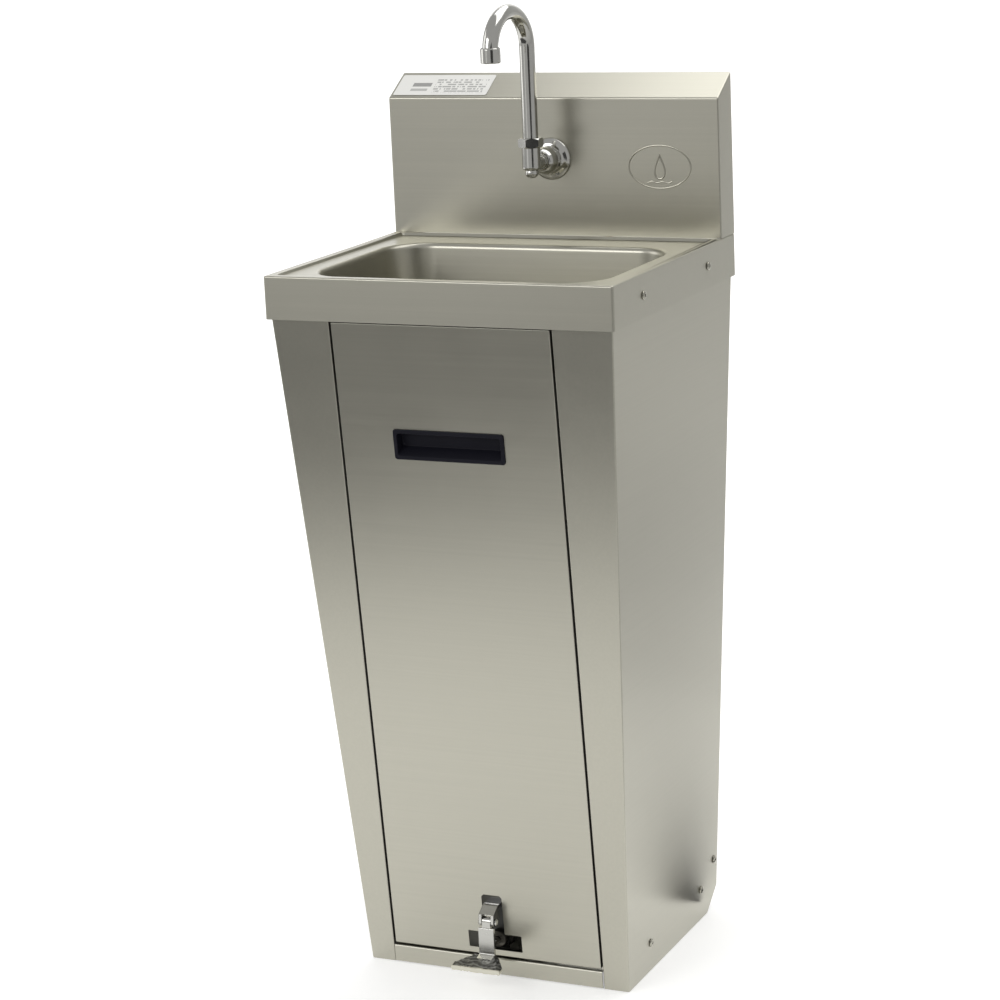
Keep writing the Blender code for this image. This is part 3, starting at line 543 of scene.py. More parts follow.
def choose(kind, test):
    """In edit mode, selects the vertices, edges or faces that pass a test."""
    bpy.ops.mesh.select_mode(type=kind)
    bpy.ops.mesh.select_all(action="DESELECT")
    data = bpy.context.edit_object.data
    shape = bmesh.from_edit_mesh(data)
    for item in {"VERT": shape.verts, "EDGE": shape.edges, "FACE": shape.faces}[kind]:
        if test(item):
            item.select_set(True)
    shape.select_flush_mode()
    bmesh.update_edit_mesh(data)


def round_folds(radius, clamp=False):
    """Rounds every fold of the open sheet that is being edited."""
    choose("EDGE", lambda edge: not edge.is_boundary)
    bpy.ops.mesh.bevel(offset=radius, segments=4, profile=0.5, affect="EDGES", clamp_overlap=clamp)


def draw_out(step):
    """Extrudes what is chosen by a vector."""
    bpy.ops.mesh.extrude_region_move(TRANSFORM_OT_translate={"value": step})


def edge_middle(edge):
    return (edge.verts[0].co + edge.verts[1].co) / 2


def modify(piece, kind, **settings):
    """Adds a modifier and applies it."""
    hold(piece)
    step = piece.modifiers.new(kind.title(), kind)
    for key, value in settings.items():
        setattr(step, key, value)
    bpy.ops.object.modifier_apply(modifier=step.name)


def carve(piece, tool, operation="DIFFERENCE"):
    """A Boolean with a tool that is then thrown away."""
    modify(piece, "BOOLEAN", object=tool, operation=operation, solver="EXACT")
    bpy.data.objects.remove(tool, do_unlink=True)


def thicken(piece, thickness, offset=-1):
    modify(piece, "SOLIDIFY", thickness=thickness, offset=offset, use_even_offset=True)


def soften(piece, width, segments=2, angle=35):
    modify(piece, "BEVEL", width=width, segments=segments, limit_method="ANGLE",
           angle_limit=math.radians(angle), use_clamp_overlap=True)


def settle(piece, place=None, outward=True):
    """Puts a piece in its place for good: its object ends at the origin, unturned."""
    if place is not None:
        piece.matrix_world = place @ piece.matrix_world
    hold(piece)
    bpy.ops.object.transform_apply(location=True, rotation=True, scale=True)
    bpy.ops.object.mode_set(mode="EDIT")
    bpy.ops.mesh.select_all(action="SELECT")
    bpy.ops.mesh.remove_doubles(threshold=0.000002)
    if outward:
        bpy.ops.mesh.normals_make_consistent(inside=False)
    leave_edit()
    return piece


def face_along(piece, direction):
    """Turns an open sheet's faces over if its largest one looks away from a direction."""
    widest = max(piece.data.polygons, key=lambda face: face.area * abs(face.normal.dot(direction)))
    if widest.normal.dot(direction) < 0:
        edit(piece)
        bpy.ops.mesh.select_all(action="SELECT")
        bpy.ops.mesh.flip_normals()
        leave_edit()


def ready(piece, name, node, finish, sharp=32, body="cabinet"):
    """Names, shades and paints a finished piece, ties it to its body, and hides the frame's node that it
    stands for.
    """
    hold(piece)
    piece.name = name
    piece.data.name = name
    bpy.ops.object.shade_smooth_by_angle(angle=math.radians(sharp))
    modify(piece, "WEIGHTED_NORMAL", keep_sharp=True)
    piece.data.materials.clear()
    piece.data.materials.append(FINISHES[finish])
    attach(piece, body)
    if node:
        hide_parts(node)


def moved(x, y, z):
    return Matrix.Translation((x, y, z))


def towards(location, axis):
    """A matrix that stands a Z-up shape at a place, pointing along an axis."""
    turn = Z_AXIS.rotation_difference(Vector(axis).normalized()).to_matrix().to_4x4()
    return Matrix.Translation(Vector(location)) @ turn


def turns(count):
    return [2 * math.pi * i / count for i in range(count)]


def arc(centre, radius, start, end, steps):
    """Points of an arc in two dimensions, with its angles in degrees."""
    points = []
    for i in range(steps + 1):
        angle = math.radians(start + (end - start) * i / steps)
        points.append((centre[0] + radius * math.cos(angle), centre[1] + radius * math.sin(angle)))
    return points


def bent(corners, radius, steps):
    """A line through corners, each rounded by an arc of the radius."""
    points = [Vector(corner) for corner in corners]
    path = [points[0]]
    for before, corner, after in zip(points, points[1:], points[2:]):
        back = (before - corner).normalized()
        ahead = (after - corner).normalized()
        half = back.angle(ahead) / 2
        centre = corner + (back + ahead).normalized() * radius / math.sin(half)
        start = corner + back * radius / math.tan(half) - centre
        end = corner + ahead * radius / math.tan(half) - centre
        axis = start.cross(end)
        for i in range(steps + 1):
            path.append(centre + Matrix.Rotation(start.angle(end) * i / steps, 3, axis) @ start)
    return path + [points[-1]]


def eased(profile, radius, closed=False, steps=3):
    """A profile whose corners are rounded to a radius, or to less where a side is short."""
    points = [Vector(point) for point in profile]
    count = len(points)
    smooth = []
    for i, corner in enumerate(points):
        if not closed and i in (0, count - 1):
            smooth.append(tuple(corner))
            continue
        before = points[i - 1] - corner
        after = points[(i + 1) % count] - corner
        reach = min(radius, 0.45 * before.length, 0.45 * after.length)
        start = corner + before.normalized() * reach
        end = corner + after.normalized() * reach
        for k in range(steps + 1):
            t = k / steps
            smooth.append(tuple(start * (1 - t) ** 2 + corner * 2 * t * (1 - t) + end * t ** 2))
    return smooth


def threaded(profile, side, pitch, depth):
    """A ring's profile whose side from one point to the next is grooved like a thread."""
    start, end = Vector(profile[side]), Vector(profile[(side + 1) % len(profile)])
    count = int((end - start).length / pitch)
    grooved = [tuple(start)]
    for i in range(1, count):
        crest = start.lerp(end, i / count)
        root = start.lerp(end, (i + 0.5) / count)
        grooved.append(tuple(crest))
        grooved.append((root.x - depth, root.y))
    grooved.append(tuple(end))
    return profile[:side] + grooved + profile[side + 2:]


def lathe(profile, place=None, ring=False, steps=None):
    """Turns (radius, height) points about Z: a circle is drawn out step by step."""
    fresh()
    steps = steps or bpy.context.scene.sink_sizes.round_steps
    radius, height = profile[0]
    bpy.ops.mesh.primitive_circle_add(vertices=steps, radius=radius, location=(0, 0, height),
                                      fill_type="NOTHING" if ring else "NGON")
    piece = bpy.context.active_object
    bpy.ops.object.transform_apply(location=True)
    bpy.ops.object.mode_set(mode="EDIT")
    bpy.ops.mesh.select_all(action="SELECT")
    for next_radius, next_height in profile[1:]:
        draw_out((0, 0, next_height - height))
        ratio = next_radius / radius
        bpy.ops.transform.resize(value=(ratio, ratio, 1), center_override=(0, 0, next_height))
        radius, height = next_radius, next_height
    if ring:
        choose("EDGE", lambda edge: edge.is_boundary)
        bpy.ops.mesh.bridge_edge_loops()
    leave_edit()
    return settle(piece, place)


def ring(profile, ease, place, steps=None):
    """A closed profile, its corners eased, turned about Z."""
    return lathe(eased(profile, ease, True), place, True, steps)


def drill(piece, radius, start, end, place=None, steps=None, operation="DIFFERENCE"):
    """A round hole from one height to another, or a round boss where the operation is a union."""
    carve(piece, lathe([(radius, start), (radius, end)], place, steps=steps), operation)


def block(corner, opposite, place=None):
    """A box between two corners."""
    fresh()
    bpy.ops.mesh.primitive_cube_add(size=1, location=(Vector(corner) + Vector(opposite)) / 2)
    piece = bpy.context.active_object
    piece.scale = [abs(b - a) for a, b in zip(corner, opposite)]
    bpy.context.view_layer.update()
    return settle(piece, place)


def wire(points, closed=False):
    """A line of edges through points, left in edit mode."""
    fresh()
    bpy.ops.mesh.primitive_circle_add(vertices=len(points), radius=1, fill_type="NOTHING")
    piece = bpy.context.active_object
    for vertex, point in zip(piece.data.vertices, points):
        vertex.co = point
    bpy.ops.object.mode_set(mode="EDIT")
    if not closed:
        ends = {0, len(points) - 1}
        choose("EDGE", lambda edge: {vertex.index for vertex in edge.verts} == ends)
        bpy.ops.mesh.delete(type="EDGE")
    return piece


def round_face(centre, width, depth, corner, segments):
    """Adds a level face with round corners to the mesh that is being edited."""
    bpy.ops.mesh.select_mode(type="VERT")
    bpy.ops.mesh.select_all(action="DESELECT")
    bpy.ops.mesh.primitive_plane_add(size=1, location=centre)
    bpy.ops.transform.resize(value=(width, depth, 1), center_override=centre)
    bpy.ops.mesh.bevel(offset=corner, segments=segments, affect="VERTICES")


def plane(width, depth, centre=(0, 0, 0)):
    """A new piece that is one level rectangle."""
    fresh()
    bpy.ops.mesh.primitive_plane_add(size=1, location=centre)
    piece = bpy.context.active_object
    piece.scale = (width, depth, 1)
    bpy.ops.object.transform_apply(location=True, rotation=True, scale=True)
    return piece


def start_face(width, depth, corner, segments, centre=(0, 0, 0)):
    """The same with round corners, left in edit mode with its face chosen."""
    piece = plane(width, depth, centre)
    bpy.ops.object.mode_set(mode="EDIT")
    choose("VERT", lambda vertex: True)
    bpy.ops.mesh.bevel(offset=corner, segments=segments, affect="VERTICES")
    choose("FACE", lambda face: True)
    return piece


def prism(points, reach, place=None):
    """A flat outline drawn out along a vector."""
    piece = wire(points, closed=True)
    bpy.ops.mesh.select_all(action="SELECT")
    bpy.ops.mesh.edge_face_add()
    draw_out(reach)
    leave_edit()
    return settle(piece, place)


def folded(points, reach, outside, thickness, fold, place=None, offset=-1):
    """A line drawn out along a vector, its folds rounded, and given a thickness behind its outside."""
    piece = wire(points)
    choose("EDGE", lambda edge: True)
    draw_out(reach)
    if fold:
        round_folds(fold, clamp=True)
    leave_edit()
    settle(piece)
    side = [face for face in piece.data.polygons if abs(face.normal.dot(outside)) > 0.6]
    first = min(side, key=lambda face: (face.center - Vector(points[0])).length)
    if first.normal.dot(outside) < 0:
        piece.data.flip_normals()
    thicken(piece, thickness, offset)
    return settle(piece, place)


def hex_nut(across, start, end, bore, place, chamfer=0.12):
    """A nut: a chamfered disc cut to six flats, then bored."""
    corner = across / math.sqrt(3)
    drop = corner * chamfer
    edge = 0.88 * corner
    rounds = [(edge, start), (corner, start + drop), (corner, end - drop), (edge, end)]
    piece = lathe(rounds, steps=96)
    flats = lathe([(corner, start - 0.01), (corner, end + 0.01)], steps=6)
    carve(piece, flats, "INTERSECT")
    drill(piece, bore, start - 0.01, end + 0.01, steps=48)
    soften(piece, 0.0003)
    return settle(piece, place)


def rod(path, radius, caps=True, ring_steps=6, closed=False):
    """A round bar along a path: a curve with a bevel, made a mesh."""
    fresh()
    line = bpy.data.curves.new("rod", "CURVE")
    line.dimensions = "3D"
    spline = line.splines.new("POLY")
    spline.points.add(len(path) - 1)
    spline.use_cyclic_u = closed
    for point, spot in zip(spline.points, path):
        point.co = (*spot, 1)
    line.bevel_depth = radius
    line.bevel_resolution = ring_steps
    line.use_fill_caps = caps and not closed
    piece = bpy.data.objects.new("rod", line)
    bpy.context.scene.collection.objects.link(piece)
    hold(piece)
    bpy.ops.object.convert(target="MESH")
    return bpy.context.active_object


def tube(path, radius, wall, ring_steps):
    """An open pipe along a path."""
    piece = rod(path, radius, False, ring_steps)
    settle(piece)
    thicken(piece, wall)
    return settle(piece)


def join(pieces):
    """Makes several meshes one."""
    hold(pieces[0])
    for piece in pieces[1:]:
        piece.select_set(True)
    bpy.ops.object.join()
    return bpy.context.active_object


class Maker:
    """What every operator here shares: it can be undone, and its settings redone."""
    bl_options = {"REGISTER", "UNDO"}


# ---- sink top and backsplash ----

class SINK_OT_top(Maker, bpy.types.Operator):
    """Presses the rim, deck and bowl from one sheet, and folds the apron down"""
    bl_idname = "sink.top"
    bl_label = "Sink Top"

    def execute(self, context):
        sizes = context.scene.sink_sizes
        piece = self.apron(sizes)
        self.rim(sizes)
        self.deck(sizes)
        self.bowl(sizes)
        self.drain_seat()
        leave_edit()
        settle(piece)
        face_along(piece, Z_AXIS)
        thicken(piece, sizes.sheet)
        drill(piece, 0.0075, 0.86, 0.89, moved(SUPPLY_X, SUPPLY_Y, 0), steps=32)
        for _, place in apron_seats():
            drill(piece, SCREW_HOLE, -0.004, 0.004, place, steps=24)
        ready(piece, "rim_and_bowl", "sink_top", "steel", 30)
        return {"FINISHED"}

    def apron(self, sizes):
        """A rounded rectangle drawn up into the apron, its top edge rounded over."""
        piece = start_face(TOP_HIGH.x - TOP_LOW.x, TOP_HIGH.y - TOP_LOW.y, 0.003, 5, (0, 0, APRON_Z))
        draw_out((0, 0, RIM_Z - APRON_Z))
        choose("FACE", lambda face: face.calc_center_median().z < APRON_Z + HAIR)
        bpy.ops.mesh.delete(type="ONLY_FACE")
        choose("EDGE", lambda edge: edge_middle(edge).z > RIM_Z - HAIR)
        bpy.ops.mesh.bevel(offset=sizes.rim_edge, segments=5, profile=0.5, affect="EDGES")
        return piece

    def rim(self, sizes):
        """The raised border, its step down, and a straight back edge under the splash."""
        choose("FACE", lambda face: face.calc_center_median().z > RIM_Z - HAIR)
        bpy.ops.mesh.bisect(plane_co=(0, SEAT_Y, RIM_Z), plane_no=(0, 1, 0))
        choose("FACE", lambda face: face.calc_center_median().z > RIM_Z - HAIR and
               face.calc_center_median().y < SEAT_Y and face.calc_area() > 0.01)
        bpy.ops.mesh.delete(type="ONLY_FACE")
        front, back = TOP_LOW.y + sizes.rim_width, SEAT_Y - 0.001
        width = (TOP_HIGH.x - sizes.rim_width) * 2
        round_face((0, (front + back) / 2, RIM_Z), width, back - front, 0.008, 8)
        choose("EDGE", lambda edge: edge.is_boundary and edge_middle(edge).z > RIM_Z - HAIR)
        bpy.ops.mesh.bridge_edge_loops()
        choose("FACE", lambda face: len(face.verts) > 30)
        for thickness, depth in ((0.0008, 0.0003), (0.0022, sizes.rim_step - 0.0006), (0.0010, 0.0003)):
            bpy.ops.mesh.inset(thickness=thickness, depth=-depth)
        bpy.ops.mesh.delete(type="ONLY_FACE")

    def deck(self, sizes):
        """A rounded rectangle for the mouth of the bowl, bridged to the border."""
        edge = sizes.bowl_edge
        deck_z = RIM_Z - sizes.rim_step
        round_face((0, (BOWL_FRONT_Y + BOWL_BACK_Y) / 2, deck_z), 2 * (BOWL_HALF_X + edge),
                  BOWL_BACK_Y - BOWL_FRONT_Y + 2 * edge, sizes.bowl_corner + edge, 18)
        choose("EDGE", lambda item: item.is_boundary and abs(edge_middle(item).z - deck_z) < HAIR)
        bpy.ops.mesh.bridge_edge_loops()
        choose("FACE", lambda face: len(face.verts) > 40)

    def roll(self, inset, depth, steps):
        """Insets the chosen face along a curve of inset and depth over a quarter turn."""
        for i in range(steps):
            a = math.pi / 2 * i / steps
            b = math.pi / 2 * (i + 1) / steps
            bpy.ops.mesh.inset(thickness=inset(b) - inset(a), depth=depth(a) - depth(b))

    def bowl(self, sizes):
        """The rolled edge, the drafted wall and the fillet at the floor."""
        edge = sizes.bowl_edge
        fillet = sizes.bowl_fillet
        self.roll(lambda a: edge * math.sin(a), lambda a: edge * (1 - math.cos(a)), 8)
        fall = RIM_Z - sizes.rim_step - edge - BOWL_LOW_Z - fillet
        for _ in range(4):
            bpy.ops.mesh.inset(thickness=sizes.bowl_draft / 4, depth=-fall / 4)
        self.roll(lambda a: fillet * (1 - math.cos(a)), lambda a: fillet * math.sin(a), 10)
        bpy.ops.mesh.delete(type="ONLY_FACE")

    def drain_seat(self):
        """The floor falls to a round recess with a hole for the drain."""
        at = Vector((0, DRAIN_Y, BOWL_FLOOR_Z))
        bpy.ops.mesh.select_mode(type="VERT")
        bpy.ops.mesh.select_all(action="DESELECT")
        bpy.ops.mesh.primitive_circle_add(vertices=76, radius=0.041, location=at, fill_type="NOTHING")
        choose("EDGE", lambda item: (item.is_boundary or item.is_wire)
               and edge_middle(item).z < BOWL_LOW_Z + HAIR)
        bpy.ops.mesh.bridge_edge_loops(number_cuts=3, interpolation="LINEAR")
        choose("EDGE", lambda item: item.is_boundary and edge_middle(item).z < BOWL_FLOOR_Z + HAIR)
        for ratio, drop in ((0.040 / 0.041, 0.0021), (0.0285 / 0.040, 0.0)):
            draw_out((0, 0, -drop))
            bpy.ops.transform.resize(value=(ratio, ratio, 1), center_override=at)


class SINK_OT_backsplash(Maker, bpy.types.Operator):
    """Folds the hollow backsplash with its sloping top and rear returns"""
    bl_idname = "sink.backsplash"
    bl_label = "Backsplash"

    def execute(self, context):
        sizes = context.scene.sink_sizes
        bottom = low("backsplash").z
        piece = block((TOP_LOW.x, SPLASH_Y, bottom), (TOP_HIGH.x, TOP_HIGH.y, SPLASH_FRONT_Z))
        edit(piece)
        choose("VERT", lambda vertex: vertex.co.z > bottom + HAIR and vertex.co.y > SPLASH_Y + HAIR)
        bpy.ops.transform.translate(value=(0, 0, SPLASH_BACK_Z - SPLASH_FRONT_Z))
        choose("FACE", lambda face: face.normal.z < -0.9)
        bpy.ops.mesh.delete(type="ONLY_FACE")
        round_folds(sizes.fold)
        leave_edit()
        thicken(piece, sizes.sheet)
        reach = TOP_HIGH.x - REAR_RETURN
        carve(piece, block((-reach, 0.19, bottom - 0.01), (reach, 0.21, SPLASH_BACK_Z - REAR_RETURN)))
        drill(piece, 0.0108, -0.01, 0.01, towards((0, SPLASH_Y, FAUCET_Z), Y_AXIS))
        ready(piece, "splash_shell", "backsplash", "steel", 30)
        return {"FINISHED"}


class SINK_OT_label(Maker, bpy.types.Operator):
    """Sticks the printed film on the backsplash's slope"""
    bl_idname = "sink.label"
    bl_label = "Label"

    def execute(self, context):
        slope = math.atan2(SPLASH_BACK_Z - SPLASH_FRONT_Z, TOP_HIGH.y - SPLASH_Y)
        place = moved(0, SPLASH_Y, SPLASH_FRONT_Z) @ Matrix.Rotation(slope, 4, "X")
        left, right = low("label").x, high("label").x
        piece = start_face(right - left, LABEL_DEPTH, 0.0025, 5, ((left + right) / 2, 0.026, GAP))
        leave_edit()
        modify(piece, "SOLIDIFY", thickness=0.00025, offset=1)
        settle(piece, place)
        ready(piece, "label_film", "label", "label")
        return {"FINISHED"}


class SINK_OT_emblem(Maker, bpy.types.Operator):
    """Presses a plain water drop in an oval into relief on the backsplash"""
    bl_idname = "sink.emblem"
    bl_label = "Emblem"

    def execute(self, context):
        oval = [(0.040 * math.cos(a), 0.026 * math.sin(a)) for a in turns(48)]
        drop = []
        for a in turns(32):
            drop.append((0.0095 * math.sin(a) * math.sin(a / 2) ** 1.5, 0.0145 * math.cos(a)))
        wave = [(x / 1000, 0.0010 * math.sin(x / 2.2) - 0.0185) for x in range(-16, 17)]
        lines = ((oval, True, 0.0009), (drop, True, 0.0010), (wave, False, 0.0008))
        pieces = []
        for points, closed, radius in lines:
            path = [EMBLEM_CENTRE + Vector((x, 0, z)) for x, z in points]
            pieces.append(rod(path, radius, ring_steps=2, closed=closed))
        piece = join(pieces)
        settle(piece)
        there, back = Matrix.Translation(EMBLEM_CENTRE), Matrix.Translation(-EMBLEM_CENTRE)
        settle(piece, there @ Matrix.Diagonal((1, EMBLEM_RELIEF, 1, 1)) @ back)
        ready(piece, "drop_emblem", None, "steel")
        return {"FINISHED"}


# ---- screws ----

def apron_seats():
    """Each apron screw's name and the place of its head's seat."""
    seats = []
    for row in ("front", "rear"):
        for side, hand in ((-1, "left"), (1, "right")):
            name = f"apron_screw_{row}_{hand}"
            spot = middle(name)
            seats.append((name, towards((side * (TOP_HIGH.x + GAP), spot.y, spot.z), (side, 0, 0))))
    return seats


def side_seats(side, hand):
    """The same for the screws through one side of the cabinet, which leans."""
    normal = Vector((side, 0, -LEAN)).normalized()
    seats = []
    for stem, y, z in SIDE_SCREWS:
        spot = Vector((side * side_x(z), y, z)) + normal * GAP
        seats.append((f"{stem}_{hand}", towards(spot, normal)))
    return seats


class SINK_OT_screws(Maker, bpy.types.Operator):
    """Turns one pan-head screw with a cross recess, and sets a copy at each hole"""
    bl_idname = "sink.screws"
    bl_label = "Screws"

    def execute(self, context):
        head = [(0.0021, -0.0075), (0.0022, 0.0), (0.0050, 0.0), (0.0052, 0.0005), (0.0049, 0.0012),
                (0.0041, 0.0018), (0.0028, 0.0022), (0.0012, 0.0024)]
        first = lathe(eased(head, 0.0003), steps=36)
        for turn in (0, 90):
            wing = block((-0.0022, -0.00048, 0.0012), (0.0022, 0.00048, 0.004))
            settle(wing, Matrix.Rotation(math.radians(turn), 4, "Z"))
            carve(first, wing)
        carve(first, lathe([(0.0006, 0.0004), (0.0012, 0.004)], steps=16))
        seats = apron_seats() + side_seats(-1, "left") + side_seats(1, "right")
        for i, (name, place) in enumerate(seats):
            hold(first)
            bpy.ops.object.duplicate()
            piece = context.active_object
            settle(piece, place @ Matrix.Rotation(0.7 * i, 4, "Z"), outward=False)
            ready(piece, name + "_head", name, "screw")
        bpy.data.objects.remove(first, do_unlink=True)
        return {"FINISHED"}


# ---- cabinet ----

class SINK_OT_side_panels(Maker, bpy.types.Operator):
    """Folds each side of the cabinet: rear flange, leaning side, front flange, return and foot"""
    bl_idname = "sink.side_panels"
    bl_label = "Side Panels"

    def execute(self, context):
        for side, hand in ((-1, "left"), (1, "right")):
            self.panel(context.scene.sink_sizes, side, hand)
        return {"FINISHED"}

    def panel(self, sizes, side, hand):
        line = [(SIDE_X_BOTTOM - 0.025, CABINET_BACK_Y), (SIDE_X_BOTTOM, CABINET_BACK_Y),
                (SIDE_X_BOTTOM, FRONT_Y_BOTTOM), (RETURN_X, FRONT_Y_BOTTOM),
                (RETURN_X, FRONT_Y_BOTTOM + 0.018)]
        piece = wire([(side * x, y, 0) for x, y in line])
        choose("EDGE", lambda edge: True)
        draw_out((0, 0, CABINET_TOP_Z))
        top = CABINET_TOP_Z - HAIR
        choose("VERT", lambda vertex: vertex.co.z > top and abs(vertex.co.x) > RETURN_X + HAIR)
        bpy.ops.transform.translate(value=(side * LEAN * CABINET_TOP_Z, 0, 0))
        choose("VERT", lambda vertex: vertex.co.z > top and vertex.co.y < 0)
        bpy.ops.transform.translate(value=(0, -RAKE * CABINET_TOP_Z, 0))
        round_folds(sizes.fold)
        choose("EDGE", lambda edge: edge.is_boundary and edge_middle(edge).z < HAIR
               and abs(edge_middle(edge).x) > SIDE_X_BOTTOM - HAIR and edge.calc_length() > 0.1)
        draw_out((-side * 0.016, 0, 0))
        bpy.ops.mesh.select_all(action="SELECT")
        rise = (0.0346, 0.0396)
        bpy.ops.mesh.bisect(plane_co=(0, 0.1604, 0), plane_no=(0, rise[0], -rise[1]), clear_outer=True)
        leave_edit()
        settle(piece)
        face_along(piece, Vector((side, 0, 0)))
        thicken(piece, sizes.sheet)
        for _, place in side_seats(side, hand):
            drill(piece, SCREW_HOLE, -0.004, 0.004, place, steps=24)
        name = "side_panel_" + hand
        ready(piece, name + "_sheet", name, "side_steel", 30)


class SINK_OT_inner_sheets(Maker, bpy.types.Operator):
    """Folds the pan, toe strip, braces, front rail and panel clips"""
    bl_idname = "sink.inner_sheets"
    bl_label = "Inner Sheets"

    def execute(self, context):
        sizes = context.scene.sink_sizes
        clear = sizes.sheet + 0.0006
        pan_low, pan_high = PAN_Z - sizes.sheet, 0.053
        pan = [(-side_x(pan_high) + clear, pan_high), (-side_x(pan_low) + clear, pan_low),
               (side_x(pan_low) - clear, pan_low), (side_x(pan_high) - clear, pan_high)]
        piece = folded([(x, -0.091, z) for x, z in pan], (0, 0.2555, 0), X_AXIS, sizes.sheet, sizes.fold)
        for side, hand in ((-1, "left"), (1, "right")):
            for _, place in side_seats(side, hand)[:2]:
                drill(piece, SCREW_HOLE, -0.006, 0.004, place, steps=24)
        ready(piece, "pan_sheet", "base_pan", "steel_in_painted_shade", 30)

        toe = [(front_y(0.0012), 0.0012), (front_y(PAN_Z), PAN_Z), (-0.0915, PAN_Z)]
        piece = folded([(-0.1392, y, z) for y, z in toe], (0.2784, 0, 0), Y_AXIS, sizes.sheet, sizes.fold)
        ready(piece, "toe_sheet", "toe_strip", "steel", 30)

        back = CABINET_BACK_Y - sizes.sheet - 0.0004
        for name, z0, z1 in (("rear_brace_lower", 0.046, 0.088), ("rear_brace_upper", 0.766, 0.812)):
            x = side_x(z0) - sizes.sheet - 0.0006
            line = [(x, back - 0.026), (x, back), (-x, back), (-x, back - 0.026)]
            piece = folded([(px, py, z0) for px, py in line], (0, 0, z1 - z0), -X_AXIS,
                           sizes.sheet, sizes.fold)
            ready(piece, name + "_channel", name, "steel_in_painted_shade", 30)

        bend = up_face(0.834)
        rail = [(0.004, bend), (0.020, bend), (0.020, up_face(0.790))]
        piece = folded([(-0.1394, y, z) for y, z in rail], (0.2788, 0, 0), -Z_AXIS, sizes.sheet,
                       sizes.fold, PANEL_PLACE)
        ready(piece, "rail_angle", "front_rail", "steel_in_painted_shade", 30)

        leaf = [(0.0184, 0.826), (0.0184, 0.806), (0.0149, 0.813), (0.0149, 0.8205), (0.0170, 0.825)]
        for side, hand in ((-1, "left"), (1, "right")):
            line = [(side * 0.090 - 0.008, y, up_face(z)) for y, z in leaf]
            piece = folded(line, (0.016, 0, 0), -Y_AXIS, 0.0005, 0.0012, PANEL_PLACE)
            name = "panel_clip_" + hand
            ready(piece, name + "_leaf", name, "spring", 30)
        return {"FINISHED"}


class SINK_OT_access_panel(Maker, bpy.types.Operator):
    """Folds the tray-shaped front panel and cuts its pull opening and pedal slot"""
    bl_idname = "sink.access_panel"
    bl_label = "Access Panel"

    def execute(self, context):
        sizes = context.scene.sink_sizes
        top = up_face(PANEL_TOP_Z)
        piece = block((-PANEL_HALF_X, 0, 0), (PANEL_HALF_X, PANEL_DEPTH, top))
        edit(piece)
        choose("FACE", lambda face: face.normal.y > 0.9)
        bpy.ops.mesh.delete(type="ONLY_FACE")
        round_folds(sizes.fold)
        leave_edit()
        thicken(piece, sizes.sheet)
        frame_lip = 0.004
        carve(piece, block((-PULL_HALF_X + frame_lip, -0.01, up_face(PULL_LOW_Z + frame_lip)),
                           (PULL_HALF_X - frame_lip, 0.01, up_face(PULL_HIGH_Z - frame_lip))))
        tee = [(-0.0355, 0.034), (0.0355, 0.034), (0.0355, 0.056), (0.0135, 0.056), (0.0135, 0.104),
               (0.0105, 0.107), (-0.0105, 0.107), (-0.0135, 0.104), (-0.0135, 0.056), (-0.0355, 0.056)]
        line = eased([(x, up_face(z)) for x, z in tee], 0.0008, closed=True)
        carve(piece, prism([(x, -0.005, z) for x, z in line], (0, 0.010, 0)))
        settle(piece, PANEL_PLACE)
        ready(piece, "front_tray", "access_panel", "panel_steel", 30, body="access_panel")
        return {"FINISHED"}


